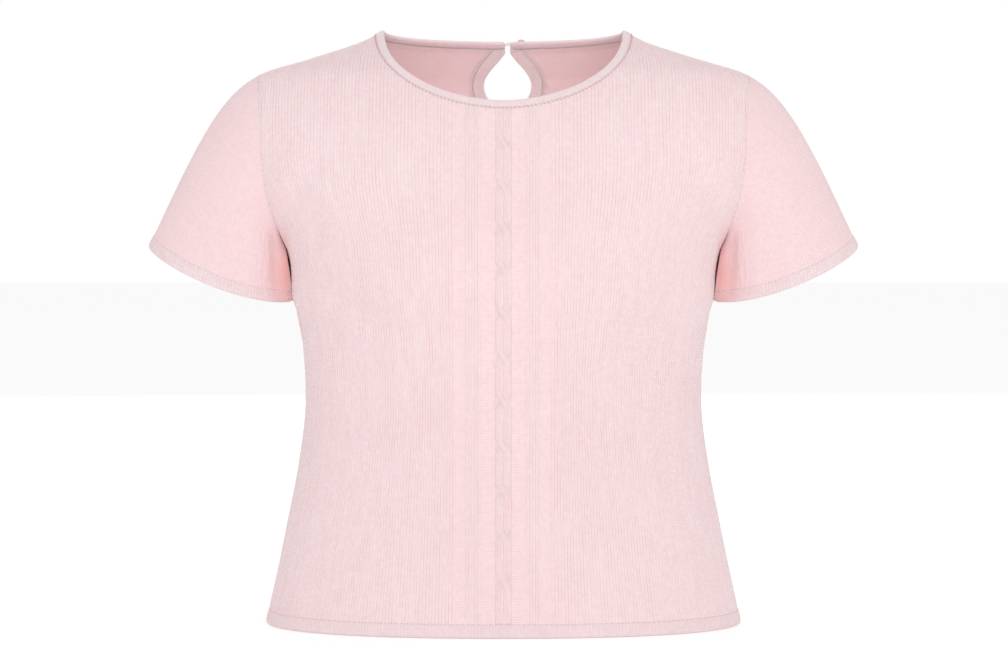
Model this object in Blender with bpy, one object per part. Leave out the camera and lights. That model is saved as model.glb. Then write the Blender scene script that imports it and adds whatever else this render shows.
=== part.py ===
"""A short-sleeved, cropped cable knit top, filled out as if worn.

Hollow walls of cloth, open at the neck, hem and cuffs, with a keyhole at the centre back.
Metres, +Z up, the front towards -Y. The origin is mid-way between the two high shoulder
points, where a wearer carries the garment. Names say left and right as seen from the front.
"""

import math

import bmesh
import bpy
import numpy as np
from mathutils import Vector
from mathutils.geometry import delaunay_2d_cdt

# Cloth
CLOTH = 0.0020           # one layer of the knit
WELT_THICKNESS = 0.0034  # a turned edge, two layers and their fold
WELT_PROUD = 0.0007      # how far a turned edge stands outside the layer beside it
SEAM_GAP = 0.00032       # between sewn pieces

# Heights from the high shoulder points
HEM_BOTTOM = -0.5490
HEM_WELT = 0.0120
SHOULDER_END = -0.0400   # where the shoulder seam meets the armhole
NECK_TOP = -0.0030       # where the shoulder seam meets the neckband

# The body's outer face: a superellipse at each height, one row for each section
SQUARENESS = 2.3
BODY_COLUMNS = ("height", "half_width", "front_depth", "back_depth")
BODY_SECTIONS = np.array((
    (-0.5600, 0.2232, 0.1290, 0.1260),
    (-0.5490, 0.2210, 0.1280, 0.1250),   # hem
    (-0.5100, 0.2123, 0.1240, 0.1220),
    (-0.4540, 0.2006, 0.1180, 0.1150),
    (-0.3980, 0.1899, 0.1110, 0.1050),
    (-0.3420, 0.1838, 0.1070, 0.0970),   # waist
    (-0.3050, 0.1850, 0.1110, 0.0960),
    (-0.2680, 0.1902, 0.1220, 0.1000),
    (-0.2450, 0.1955, 0.1290, 0.1040),
    (-0.2150, 0.2000, 0.1330, 0.1080),   # fullest part of the front
    (-0.2000, 0.2030, 0.1330, 0.1100),   # underarm
    (-0.1840, 0.2120, 0.1310, 0.1120),
    (-0.1600, 0.2290, 0.1260, 0.1140),
    (-0.1300, 0.2435, 0.1190, 0.1150),
    (-0.1000, 0.2495, 0.1090, 0.1120),
    (-0.0700, 0.2455, 0.0960, 0.1040),
    (-0.0550, 0.2385, 0.0870, 0.0970),
    (-0.0400, 0.2249, 0.0760, 0.0880),   # end of the shoulder seam
    (-0.0270, 0.1830, 0.0650, 0.0780),
    (-0.0150, 0.1450, 0.0540, 0.0680),
    (-0.0080, 0.1270, 0.0470, 0.0610),
    (-0.0030, 0.1180, 0.0420, 0.0560),   # high shoulder point
))

# Armhole: seen from the side, an ellipse on the body's face
ARMHOLE_HALF_HEIGHT = 0.080
ARMHOLE_HALF_DEPTH = 0.060
ARMHOLE_CENTRE = SHOULDER_END - ARMHOLE_HALF_HEIGHT

# Neckline, where the panels meet the neckband
NECK_HALF_WIDTH = 0.1180
NECK_DROP = {"front": 0.0707, "back": 0.0090}
NECK_SQUARENESS = 1.9
NECKBAND_WIDTH = 0.0082
CLOSURE_CENTRE = 0.0040
CLOSURE_GAP = 0.0048

# Keyhole: a teardrop with a round foot
KEYHOLE_RADIUS = 0.0227
KEYHOLE_WIDEST = -0.0458
KEYHOLE_TOP = NECK_TOP - NECK_DROP["back"]
KEYHOLE_STRAIGHT = 0.30  # share of the turn round its edge that the tapered side takes
KEYHOLE_TURN_STEP = 0.004
KEYHOLE_SIDE_POINTS = 9
KEYHOLE_FOOT_POINTS = 15
BINDING_WIDTH = 0.0110

# Sleeve, given for the right one
CUFF_TIP = (0.3300, -0.1997)      # x and z of the outer end of the sleeve's edge
CUFF_INNER = (0.1966, -0.2495)    # x and z of its end by the body
CUFF_HALF_DEPTH = 0.050
CUFF_FRONT_TILT = 0.0075
CUFF_SAG = 0.0050
CUFF_WELT = 0.0120

# How each of the sleeve's curves leaves the armhole and reaches the edge: a direction's x, y and
# z and a pull in metres. Each is a sum: everywhere, times how far the angle faces outwards, times
# how far it faces to the front, and times how far it lies under the arm.
SLEEVE_COLUMNS = ("x", "y", "z", "pull")
SLEEVE_LEAVES = {
    "everywhere": (0.81, 0.00, -0.56, 0.0285),
    "outward": (0.09, 0.00, 0.14, 0.0165),
    "frontward": (0.00, 0.12, 0.00, 0.0),
    "either_face": (0.00, 0.00, 0.00, 0.0060),
    "underarm": (-0.68, 0.00, 0.00, 0.0030),
}
SLEEVE_ARRIVES = {
    "everywhere": (0.15, 0.00, -0.95, 0.0470),
    "outward": (0.30, 0.00, 0.00, 0.0360),
    "frontward": (0.00, -0.06, 0.00, 0.0),
    "either_face": (0.00, 0.00, 0.00, 0.0),
    "underarm": (0.03, 0.00, 0.00, 0.0040),
}

# Raised columns down the front, measured from its centre line
CABLE_HALF = 0.0072
RIB_FROM = 0.0205
RIB_TO = 0.0338
PURL_TO = 0.0433
COLUMN_EDGE = 0.0012     # width of the step beside a raised column
PURL_SINK = 0.0006
RIB_RISE = 0.0003
STRAND_RISE = 0.0018
CROSSING_LIFT = 0.0008
STRAND_HALF = CABLE_HALF / 2
CROSSING_HALF = 0.0085   # half the length in which two strands change sides
FIRST_CROSSING = -0.1054
LAST_CROSSING = -0.4982
CROSSINGS = 11

# The cable's mesh columns on one side of its middle, short of its edge
CABLE_PLACES = (0.0, 0.0013, 0.0036, 0.0060)

# Mesh steps, in metres where they are lengths
EDGE_STEP = 0.0125
OUTER_STEP = 0.0170
INNER_STEP = 0.0250
RIB_STEP = 0.0220
CABLE_STEP = 0.0048
ROUND_SLEEVE = 36        # points round the sleeve
ALONG_SLEEVE = 10        # and along it
RIDGE_POINTS = 3         # points on the shoulder's ridge for each edge step of height
WIDEST_ACROSS = 0.30     # past the side seam at every height

# Steps in which curves are followed
SAMPLES = 61
COURSE_SAMPLES = 400
EDGE_SAMPLES = 240
RING_END = math.radians(99)   # a ring is followed a little past the side seam
NORMAL_STEP = 0.0008
SLEEVE_NORMAL_STEP = 0.0010
SLEEVE_NORMAL_TURN = 0.02
NECK_NORMAL_TURN = 0.01
WALL_STEP = 0.0040            # how far from the armhole the sleeve's own slope is taken
SEAM_STEEPEST = 0.35          # the least cosine between a seam's wall and its panel

# Soft folds in the body: a line from one point to another, seen from the front.
# A positive depth is a ridge, a negative one a trough.
FOLD_COLUMNS = ("from_x", "from_z", "to_x", "to_z", "depth", "half_width")
BODY_FOLDS = {
    "front": (
        (-0.196, -0.214, -0.118, -0.262, -0.0034, 0.014),
        (-0.188, -0.246, -0.104, -0.286, 0.0018, 0.013),
        (-0.186, -0.272, -0.112, -0.308, -0.0022, 0.014),
        (0.197, -0.216, 0.124, -0.268, -0.0032, 0.015),
        (0.187, -0.250, 0.098, -0.284, 0.0017, 0.012),
        (0.184, -0.280, 0.120, -0.306, -0.0024, 0.013),
        (-0.205, -0.176, -0.165, -0.120, -0.0026, 0.011),
        (0.206, -0.172, 0.170, -0.126, -0.0024, 0.012),
    ),
    "back": (
        (-0.190, -0.220, -0.100, -0.300, -0.0030, 0.016),
        (-0.176, -0.268, -0.060, -0.340, 0.0020, 0.017),
        (-0.160, -0.330, -0.050, -0.372, -0.0026, 0.016),
        (0.192, -0.226, 0.112, -0.292, -0.0032, 0.015),
        (0.178, -0.280, 0.066, -0.332, 0.0018, 0.015),
        (0.158, -0.322, 0.040, -0.380, -0.0022, 0.018),
        (-0.150, -0.110, -0.120, -0.190, -0.0022, 0.015),
        (0.156, -0.118, 0.126, -0.182, -0.0020, 0.014),
    ),
}
FOLD_FADE = 0.020        # width beside a seam in which the folds die out
FOLD_END = 0.25          # share of its depth that a fold keeps at its ends
FOLD_FROM = 0.15         # and where along a sine's arch the fold starts
SLEEVE_FOLD_REACH = 1.15
SLEEVE_FOLDS = {
    "front": (
        (0.2155, -0.178, 0.2175, -0.236, -0.0030, 0.0060),
        (0.2290, -0.190, 0.2300, -0.242, 0.0014, 0.0070),
        (0.2440, -0.150, 0.2520, -0.226, -0.0012, 0.0090),
    ),
    "back": (
        (0.2170, -0.176, 0.2190, -0.226, -0.0026, 0.0070),
        (0.2370, -0.160, 0.2440, -0.224, -0.0016, 0.0100),
    ),
}

FACING = {"front": -1.0, "back": 1.0}


# The body's face

def section_value(column, at):
    """A column of the body's sections at the heights given, on a smooth curve through its rows."""
    heights = BODY_SECTIONS[:, BODY_COLUMNS.index("height")]
    values = BODY_SECTIONS[:, BODY_COLUMNS.index(column)]
    slopes = np.gradient(values, heights)
    row = np.clip(np.searchsorted(heights, at) - 1, 0, len(heights) - 2)
    span = heights[row + 1] - heights[row]
    t = (at - heights[row]) / span
    start = (1 + 2 * t) * (1 - t) ** 2 * values[row] + t * (1 - t) ** 2 * span * slopes[row]
    end = t ** 2 * (3 - 2 * t) * values[row + 1] - t ** 2 * (1 - t) * span * slopes[row + 1]
    return start + end


def body_ring(side, height, angle):
    """A point of the body's face: angle 0 at the centre line, a quarter turn at the side."""
    half_width = section_value("half_width", height)
    depth = section_value(side + "_depth", height)
    power = np.abs(np.sin(angle)) ** SQUARENESS + np.abs(np.cos(angle)) ** SQUARENESS
    radius = power ** (-1 / SQUARENESS)
    x = half_width * radius * np.sin(angle)
    y = FACING[side] * depth * radius * np.cos(angle)
    return x, y


def ring_samples(side, height):
    """Angles a little past the side seam, with x, y and the length round from the centre."""
    angles = np.linspace(0.0, RING_END, SAMPLES)
    x, y = body_ring(side, height, angles)
    steps = np.hypot(np.diff(x), np.diff(y))
    return angles, x, y, np.concatenate(([0.0], np.cumsum(steps)))


def body_point(side, across, height):
    """The point of the body's face that lies `across` metres round from the centre line."""
    angles, _, _, lengths = ring_samples(side, height)
    angle = np.interp(abs(across), lengths, angles)
    x, y = body_ring(side, height, angle)
    return np.array((math.copysign(x, across), y, height))


def body_normal(side, across, height):
    """The direction straight out of the body's face."""
    step = NORMAL_STEP
    low = max(height - step, BODY_SECTIONS[0, 0])
    high = min(height + step, NECK_TOP)
    round_body = body_point(side, across + step, height) - body_point(side, across - step, height)
    up_body = body_point(side, across, high) - body_point(side, across, low)
    normal = np.cross(round_body, up_body) * -FACING[side]
    return normal / np.linalg.norm(normal)


def across_side(side, height):
    """Length round from the centre line to the side seam or the ridge of the shoulder."""
    angles, _, _, lengths = ring_samples(side, height)
    return float(np.interp(math.pi / 2, angles, lengths))


def across_at_x(side, height, x):
    """Length round to the point with this x."""
    angles, xs, _, lengths = ring_samples(side, height)
    front_of_side = angles <= math.pi / 2
    return float(np.interp(x, xs[front_of_side], lengths[front_of_side]))


def across_at_depth(side, height, depth):
    """Length round to the point that lies `depth` in front of or behind the side."""
    _, _, ys, lengths = ring_samples(side, height)
    return float(np.interp(-depth, -np.abs(ys) * np.sign(ys * FACING[side]), lengths))


def course_table():
    """Length of the cloth up from the hem at each height, followed half-way to the side."""
    heights = np.linspace(BODY_SECTIONS[0, 0], NECK_TOP, COURSE_SAMPLES)
    x, y = body_ring("front", heights, math.pi / 4)
    steps = np.sqrt(np.diff(x) ** 2 + np.diff(y) ** 2 + np.diff(heights) ** 2)
    return heights, np.concatenate(([0.0], np.cumsum(steps)))


COURSE_HEIGHTS, COURSE_LENGTHS = course_table()


def course_at(height):
    return float(np.interp(height, COURSE_HEIGHTS, COURSE_LENGTHS))


def height_at(course):
    return float(np.interp(course, COURSE_LENGTHS, COURSE_HEIGHTS))


def fold_depth(folds, x, z):
    """How far soft folds move the cloth out at a point, seen from the front."""
    depth = 0.0
    for from_x, from_z, to_x, to_z, rise, half_width in folds:
        run_x = to_x - from_x
        run_z = to_z - from_z
        share = ((x - from_x) * run_x + (z - from_z) * run_z) / (run_x ** 2 + run_z ** 2)
        along = min(max(share, 0.0), 1.0)
        away = math.hypot(x - from_x - along * run_x, z - from_z - along * run_z)
        arch = math.sin(math.pi * (FOLD_FROM + (1 - 2 * FOLD_FROM) * along))
        fade = FOLD_END + (1 - FOLD_END) * arch
        depth += rise * fade * math.exp(-(away / half_width) ** 2)
    return depth


def seam_fade(side, across, height):
    """0 on the armhole's and the hem's seams, rising to 1 a little way in from them."""
    lift = (height - ARMHOLE_CENTRE) / ARMHOLE_HALF_HEIGHT
    inside = ARMHOLE_HALF_DEPTH * math.sqrt(max(0.0, 1.0 - lift * lift))
    depth = abs(body_point(side, across, height)[1])
    from_underarm = math.hypot(depth, height - ARMHOLE_CENTRE + ARMHOLE_HALF_HEIGHT)
    away = min(depth - inside if abs(lift) < 1 else from_underarm, from_underarm)
    return min(max(away / FOLD_FADE, 0.0), 1.0)


def smooth_step(value, edge, width):
    """0 below the edge, 1 above it, with a smooth rise `width` wide."""
    t = min(max((value - edge) / width + 0.5, 0.0), 1.0)
    return t * t * (3 - 2 * t)


def between(value, low, high, width):
    return smooth_step(value, low, width) - smooth_step(value, high, width)


CROSSING_COURSES = np.linspace(course_at(LAST_CROSSING), course_at(FIRST_CROSSING), CROSSINGS)


def cable_rise(across, course):
    """Two strands side by side that change sides at each crossing, the left one on top."""
    nearest = CROSSING_COURSES[np.argmin(np.abs(CROSSING_COURSES - course))]
    t = min(max((course - nearest) / CROSSING_HALF, -1.0), 1.0)
    shift = STRAND_HALF * math.sin(t * math.pi / 2)
    lift = CROSSING_LIFT * (1 - t * t)
    over = 1 - min(abs(across + shift) / STRAND_HALF, 1.0) ** 2
    under = 1 - min(abs(across - shift) / STRAND_HALF, 1.0) ** 2
    return max((STRAND_RISE + lift) * math.sqrt(over), (STRAND_RISE - lift) * math.sqrt(under))


def front_relief(across, course):
    """Height of the cable, the ribs and the sunken purl columns on the front."""
    away = abs(across)
    purl = between(away, 0.0, PURL_TO, COLUMN_EDGE) if away > COLUMN_EDGE else 1.0
    rib = between(away, RIB_FROM, RIB_TO, COLUMN_EDGE)
    cable = cable_rise(across, course) if away < CABLE_HALF else 0.0
    return -PURL_SINK * purl + (PURL_SINK + RIB_RISE) * rib + cable


def no_relief(across, course):
    return 0.0


def neck_point(angle):
    """Side, x and height of the neckline: 0 at the right shoulder, a quarter turn in front."""
    side = "front" if math.sin(angle) >= 0 else "back"
    bulge = 2 / NECK_SQUARENESS
    x = math.copysign(abs(math.cos(angle)) ** bulge, math.cos(angle)) * NECK_HALF_WIDTH
    height = NECK_TOP - NECK_DROP[side] * abs(math.sin(angle)) ** bulge
    return side, x, height


def neck_place(angle):
    """Side, length round, height and point of the neckline on the body's face."""
    side, x, height = neck_point(angle)
    across = math.copysign(across_at_x(side, height, abs(x)), x)
    return side, across, height, body_point(side, across, height)


def even_angles(start, end, step, place):
    """Angles from start to end whose points lie about `step` apart."""
    dense = np.linspace(start, end, EDGE_SAMPLES)
    points = np.array([place(angle) for angle in dense])
    lengths = np.concatenate(([0.0], np.cumsum(np.linalg.norm(np.diff(points, axis=0), axis=1))))
    count = max(2, round(lengths[-1] / step) + 1)
    return np.interp(np.linspace(0.0, lengths[-1], count), lengths, dense)


def closure_angle(x):
    """The angle on the back neckline with this x, short of a half turn past the right shoulder."""
    share = x / NECK_HALF_WIDTH
    return math.acos(math.copysign(abs(share) ** (NECK_SQUARENESS / 2), share))


def neckline_angles():
    """Angles round the neckline: behind to the right, in front, and behind to the left."""
    start = -closure_angle(CLOSURE_CENTRE + CLOSURE_GAP / 2)
    end = 2 * math.pi - closure_angle(CLOSURE_CENTRE - CLOSURE_GAP / 2)
    runs = ((start, 0.0), (0.0, math.pi), (math.pi, end))
    return [even_angles(low, high, EDGE_STEP, lambda a: neck_place(a)[3]) for low, high in runs]


BACK_RIGHT_ANGLES, FRONT_NECK_ANGLES, BACK_LEFT_ANGLES = neckline_angles()


def armhole_place(angle):
    """Side, length round, height and point of the right armhole: 0 at its top."""
    side = "front" if math.sin(angle) >= 0 else "back"
    height = ARMHOLE_CENTRE + ARMHOLE_HALF_HEIGHT * math.cos(angle)
    across = across_at_depth(side, height, ARMHOLE_HALF_DEPTH * abs(math.sin(angle)))
    return side, across, height, body_point(side, across, height)


# The sleeve's face runs on a cubic curve from each point of the armhole to the cuff's edge.

def unit(vector):
    return vector / np.linalg.norm(vector)


def cuff_edge(angle):
    """The sleeve's lower edge: 0 at its outer tip, a quarter turn in front."""
    tip = np.array((CUFF_TIP[0], 0.0, CUFF_TIP[1]))
    inner = np.array((CUFF_INNER[0], 0.0, CUFF_INNER[1]))
    front = math.sin(angle)
    point = (tip + inner) / 2 + (tip - inner) / 2 * math.cos(angle)
    point[1] = -CUFF_HALF_DEPTH * front
    point[2] -= CUFF_FRONT_TILT * front + CUFF_SAG * front ** 2
    return point


def sleeve_pull(terms, angle):
    """The direction and the pull that a table of terms gives at one angle round the sleeve."""
    shares = {
        "everywhere": 1.0,
        "outward": math.cos(angle),
        "frontward": math.sin(angle),
        "either_face": abs(math.sin(angle)),
        "underarm": max(0.0, -math.cos(angle)) ** 3,
    }
    total = sum(share * np.array(terms[name]) for name, share in shares.items())
    return unit(total[:3]) * total[SLEEVE_COLUMNS.index("pull")]


def sleeve_curve(angle):
    """The four control points of the sleeve's face at one angle round it."""
    start = armhole_place(angle)[3]
    end = cuff_edge(angle)
    return start, start + sleeve_pull(SLEEVE_LEAVES, angle), end - sleeve_pull(SLEEVE_ARRIVES, angle), end


def sleeve_track(angle):
    """Points of the sleeve's face from armhole to edge, with their lengths."""
    t = np.linspace(0.0, 1.0, SAMPLES)[:, None]
    a, b, c, d = sleeve_curve(angle)
    points = a * (1 - t) ** 3 + 3 * b * t * (1 - t) ** 2 + 3 * c * t ** 2 * (1 - t) + d * t ** 3
    steps = np.linalg.norm(np.diff(points, axis=0), axis=1)
    return points, np.concatenate(([0.0], np.cumsum(steps)))


def sleeve_point(angle, from_start=None, from_end=None):
    """A point of the sleeve's face, by its distance from the armhole or from the edge."""
    points, lengths = sleeve_track(angle)
    distance = from_start if from_start is not None else lengths[-1] - from_end
    return np.array([np.interp(distance, lengths, points[:, k]) for k in range(3)])


def sleeve_normal(angle, from_end):
    """The direction straight out of the sleeve's face."""
    turn = SLEEVE_NORMAL_TURN
    step = SLEEVE_NORMAL_STEP
    round_sleeve = sleeve_point(angle + turn, from_end=from_end)
    round_sleeve = round_sleeve - sleeve_point(angle - turn, from_end=from_end)
    down = sleeve_point(angle, from_end=from_end - step)
    down = down - sleeve_point(angle, from_end=from_end + step)
    return unit(np.cross(round_sleeve, down))


def sleeve_length(angle):
    return sleeve_track(angle)[1][-1]


def armhole_wall(angle):
    """How the walls on both sides of the armhole seam are thick: half-way between the two.

    Also gives each wall's set-back along its own face, which leaves the seam's gap."""
    side, across, height, _ = armhole_place(angle)
    own = body_normal(side, across, height)
    sleeve = sleeve_normal(angle, sleeve_length(angle) - WALL_STEP)
    wall = unit(own + sleeve)
    return wall, SEAM_GAP / 2 / max(float(wall @ own), SEAM_STEEPEST)


# Just past 0 and a half turn, so that each angle is clearly in front or behind
SLEEVE_ANGLES = np.linspace(0.0, 2 * math.pi, ROUND_SLEEVE, endpoint=False) + 1e-6


# Meshes

def plain_material(name, colour, roughness):
    """A material of one colour."""
    material = bpy.data.materials.new(name)
    material.use_nodes = True
    shader = material.node_tree.nodes["Principled BSDF"]
    shader.inputs["Base Color"].default_value = (*colour, 1.0)
    shader.inputs["Roughness"].default_value = roughness
    shader.inputs["Metallic"].default_value = 0.0
    return material


def add_solid(name, points, faces, material):
    """One closed body with its faces pointing out."""
    mesh = bpy.data.meshes.new(name)
    mesh.from_pydata([tuple(point) for point in points], [], faces)
    shell = bmesh.new()
    shell.from_mesh(mesh)
    bmesh.ops.recalc_face_normals(shell, faces=shell.faces)
    shell.to_mesh(mesh)
    shell.free()
    mesh.materials.append(material)
    mesh.shade_smooth()
    body = bpy.data.objects.new(name, mesh)
    bpy.context.scene.collection.objects.link(body)
    return body


def mirrored(points):
    return [np.array((-point[0], point[1], point[2])) for point in points]


def split_quads(quads):
    triangles = []
    for a, b, c, d in quads:
        triangles.append((a, b, c))
        triangles.append((a, c, d))
    return triangles


def band_faces(ring_count, ring_size, closed):
    """Faces of a band made of rings of points, a torus where closed, else with flat ends."""
    quads = []
    for ring in range(ring_count if closed else ring_count - 1):
        after = (ring + 1) % ring_count
        for k in range(ring_size):
            n = (k + 1) % ring_size
            quads.append((ring * ring_size + k, ring * ring_size + n,
                          after * ring_size + n, after * ring_size + k))
    faces = split_quads(quads)
    if not closed:
        last = (ring_count - 1) * ring_size
        for k in range(1, ring_size - 1):
            faces.append((0, k, k + 1))
            faces.append((last, last + k + 1, last + k))
    return faces


# A turned edge in section: share of its width, share of its thickness
WELT_PROFILE = ((0.0, 0.2), (0.0, 0.8), (0.14, 1.0), (0.86, 1.0), (1.0, 0.72), (1.0, 0.28),
                (0.86, 0.0), (0.14, 0.0))


def point_segment_distance(points, starts, ends):
    """Distance of each point from the nearest of the segments."""
    run = ends - starts
    from_start = points[:, None, :] - starts[None, :, :]
    share = np.clip((from_start * run).sum(axis=2) / (run ** 2).sum(axis=1), 0.0, 1.0)
    return np.linalg.norm(from_start - share[:, :, None] * run, axis=2).min(axis=1)


def points_inside(points, outline, clearance):
    """The points inside a closed outline that keep their distance from it."""
    starts = np.array(outline)
    ends = np.roll(starts, -1, axis=0)
    x = points[:, 0][:, None]
    y = points[:, 1][:, None]
    spans = (starts[:, 1] > y) != (ends[:, 1] > y)
    rise = np.where(ends[:, 1] == starts[:, 1], 1.0, ends[:, 1] - starts[:, 1])
    crossing = starts[:, 0] + (y - starts[:, 1]) * (ends[:, 0] - starts[:, 0]) / rise
    inside = (spans & (x < crossing)).sum(axis=1) % 2 == 1
    away = point_segment_distance(points, starts, ends)
    return points[inside & (away > clearance)]


def inset(outline, distances):
    """The outline moved in by a small distance at each point. It runs anticlockwise."""
    points = np.array(outline)
    run = np.roll(points, -1, axis=0) - np.roll(points, 1, axis=0)
    run = run / np.linalg.norm(run, axis=1)[:, None]
    return points + np.array(distances)[:, None] * np.stack((-run[:, 1], run[:, 0]), axis=1)


def triangulate(outline, inner):
    """Triangles over a closed outline, through the points inside it."""
    count = len(outline)
    points = [Vector((float(x), float(y))) for x, y in list(outline) + list(inner)]
    edges = [(k, (k + 1) % count) for k in range(count)]
    found = delaunay_2d_cdt(points, edges, [], 1, 1e-9)
    source = [origin[0] for origin in found[3]]
    return [tuple(source[k] for k in face) for face in found[2]]


def grid_points(columns, courses):
    return np.array([(across, course) for course in courses for across in columns])


def panel_wall(name, side, outline, walls, outer, inner, relief, material):
    """A panel between its outline's points, with relief outside and a plainer sheet inside."""
    count = len(outline)

    def place(flat, wall, sink):
        across, course = flat
        height = height_at(course)
        point = body_point(side, across, height)
        normal = body_normal(side, across, height)
        rise = fold_depth(BODY_FOLDS[side], point[0], height) * seam_fade(side, across, height)
        if sink:
            return point + rise * normal - sink * (normal if wall is None else wall)
        return point + (rise + relief(across, course)) * normal

    points = [place(flat, None, 0.0) for flat in outline]
    points += [place(flat, None, 0.0) for flat in outer]
    start = len(points)
    points += [place(flat, wall, CLOTH) for flat, wall in zip(outline, walls)]
    points += [place(flat, None, CLOTH) for flat in inner]
    faces = triangulate(outline, outer)
    faces += [tuple(start + k for k in reversed(face)) for face in triangulate(outline, inner)]
    rim = [(k, start + k, start + (k + 1) % count, (k + 1) % count) for k in range(count)]
    return add_solid(name, points, faces + split_quads(rim), material)


def side_and_armhole(side):
    """The right edge of a panel from the hem welt up to the neck, with walls and insets."""
    flats = []
    walls = []
    insets = []
    bottom = HEM_BOTTOM + HEM_WELT
    underarm = ARMHOLE_CENTRE - ARMHOLE_HALF_HEIGHT
    side_count = round((underarm - bottom) / EDGE_STEP)
    for height in np.linspace(bottom, underarm, side_count, endpoint=False):
        flats.append((across_side(side, height), course_at(height)))
        walls.append(None)
        insets.append(SEAM_GAP / 2)
    half_turn = ROUND_SLEEVE // 2
    for step in range(half_turn, -1, -1):
        angle = SLEEVE_ANGLES[step] if side == "front" else SLEEVE_ANGLES[-step]
        height = ARMHOLE_CENTRE + ARMHOLE_HALF_HEIGHT * math.cos(angle)
        across = across_at_depth(side, height, ARMHOLE_HALF_DEPTH * abs(math.sin(angle)))
        wall, back = armhole_wall(angle)
        flats.append((across, course_at(height)))
        walls.append(wall)
        insets.append(back)
    ridge_count = round((NECK_TOP - SHOULDER_END) / EDGE_STEP * RIDGE_POINTS)
    for height in np.linspace(SHOULDER_END, NECK_TOP, ridge_count + 1)[1:-1]:
        flats.append((across_side(side, height), course_at(height)))
        walls.append(None)
        insets.append(SEAM_GAP / 2)
    return flats, walls, insets


def neck_run(side, angles):
    """Points of a panel's neckline."""
    flats = []
    for angle in angles:
        _, x, height = neck_point(angle)
        across = math.copysign(across_at_x(side, height, abs(x)), x)
        flats.append((across, course_at(height)))
    return flats


def hem_run(side):
    """Points of a panel's lower edge, from left to right."""
    height = HEM_BOTTOM + HEM_WELT
    reach = across_side(side, height)
    count = round(2 * reach / EDGE_STEP)
    return [(across, course_at(height))
            for across in np.linspace(-reach, reach, count, endpoint=False)]


def panel_outline(side, neck):
    """A panel's whole outline from the left end of its hem, with the wall at each point."""
    flats, walls, insets = side_and_armhole(side)
    left = [(-across, course) for across, course in reversed(flats)][:-1]
    left_walls = [None if wall is None else wall * np.array((-1.0, 1.0, 1.0))
                  for wall in reversed(walls)][:-1]
    hem = hem_run(side)
    plain = SEAM_GAP / 2
    distances = [plain] * len(hem) + insets + [plain] * len(neck) + insets[:0:-1]
    outline = inset(hem + flats + neck + left, distances)
    return outline, [None] * len(hem) + walls + [None] * len(neck) + left_walls


def plain_columns(limit, step, start=0.0):
    """Even places from `start` out to `limit`, on both sides of the centre."""
    count = max(1, round((limit - start) / step))
    right = np.linspace(start, limit, count + 1)
    if start > 0:
        return np.concatenate((-right[::-1], right))
    return np.concatenate((-right[:0:-1], right))


TOP_COURSE = course_at(NECK_TOP)
BOTTOM_COURSE = course_at(HEM_BOTTOM)


def course_steps(step):
    count = round((TOP_COURSE - BOTTOM_COURSE) / step)
    return np.linspace(BOTTOM_COURSE, TOP_COURSE, count + 1)


def front_panel(material):
    """The front, with its cable, ribs and purl columns raised in the outer points."""
    outline, walls = panel_outline("front", neck_run("front", FRONT_NECK_ANGLES))
    step = COLUMN_EDGE / 2
    cable = np.array((*CABLE_PLACES, CABLE_HALF - step / 2))
    cable = np.concatenate((-cable[:0:-1], cable))
    edges = np.array((CABLE_HALF + step, RIB_FROM - step, RIB_FROM + step,
                      RIB_TO - step, RIB_TO + step, PURL_TO - step, PURL_TO + step))
    ribs = np.concatenate((-edges[::-1], edges))
    plain = plain_columns(WIDEST_ACROSS, OUTER_STEP, PURL_TO + OUTER_STEP)
    outer = np.concatenate((grid_points(cable, course_steps(CABLE_STEP)),
                            grid_points(ribs, course_steps(RIB_STEP)),
                            grid_points(plain, course_steps(OUTER_STEP))))
    inner = grid_points(plain_columns(WIDEST_ACROSS, INNER_STEP), course_steps(INNER_STEP))
    return panel_wall("front_panel", "front", outline, walls,
                      points_inside(outer, outline, CABLE_STEP / 2),
                      points_inside(inner, outline, EDGE_STEP / 2), front_relief, material)


def keyhole_edge(turn, width):
    """The keyhole's edge, moved out by a width: 0 at the top right, 1 at the top left."""
    top = KEYHOLE_TOP - KEYHOLE_WIDEST
    straight = KEYHOLE_STRAIGHT
    if turn > 0.5:
        x, height = keyhole_edge(1.0 - turn, width)
        return 2 * CLOSURE_CENTRE - x, height

    def edge(share):
        if share < straight:
            rise = 1 - share / straight
            taper = (math.cos(math.pi * rise / 2) + (1 + math.cos(math.pi * rise)) / 2) / 2
            return np.array((max(KEYHOLE_RADIUS * taper, CLOSURE_GAP / 2), top * rise))
        swing = (share - straight) / (0.5 - straight) * math.pi / 2
        return np.array((KEYHOLE_RADIUS * math.cos(swing), -KEYHOLE_RADIUS * math.sin(swing)))

    step = KEYHOLE_TURN_STEP
    run = unit(edge(min(turn + step, 0.5)) - edge(max(turn - step, 0.0)))
    out = np.array((-run[1], run[0]))
    if turn < step:
        out = np.array((1.0, 0.0))
    if turn > 0.5 - step:
        out = np.array((0.0, -1.0))
    x, rise = edge(turn) + width * out
    return CLOSURE_CENTRE + x, min(KEYHOLE_WIDEST + rise, KEYHOLE_TOP)


KEYHOLE_TURNS = np.concatenate((
    np.linspace(0.0, KEYHOLE_STRAIGHT, KEYHOLE_SIDE_POINTS),
    np.linspace(KEYHOLE_STRAIGHT, 1 - KEYHOLE_STRAIGHT, KEYHOLE_FOOT_POINTS)[1:-1],
    np.linspace(1 - KEYHOLE_STRAIGHT, 1.0, KEYHOLE_SIDE_POINTS)))


def keyhole_place(turn, width):
    x, height = keyhole_edge(turn, width)
    return math.copysign(across_at_x("back", height, abs(x)), x), height


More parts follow.
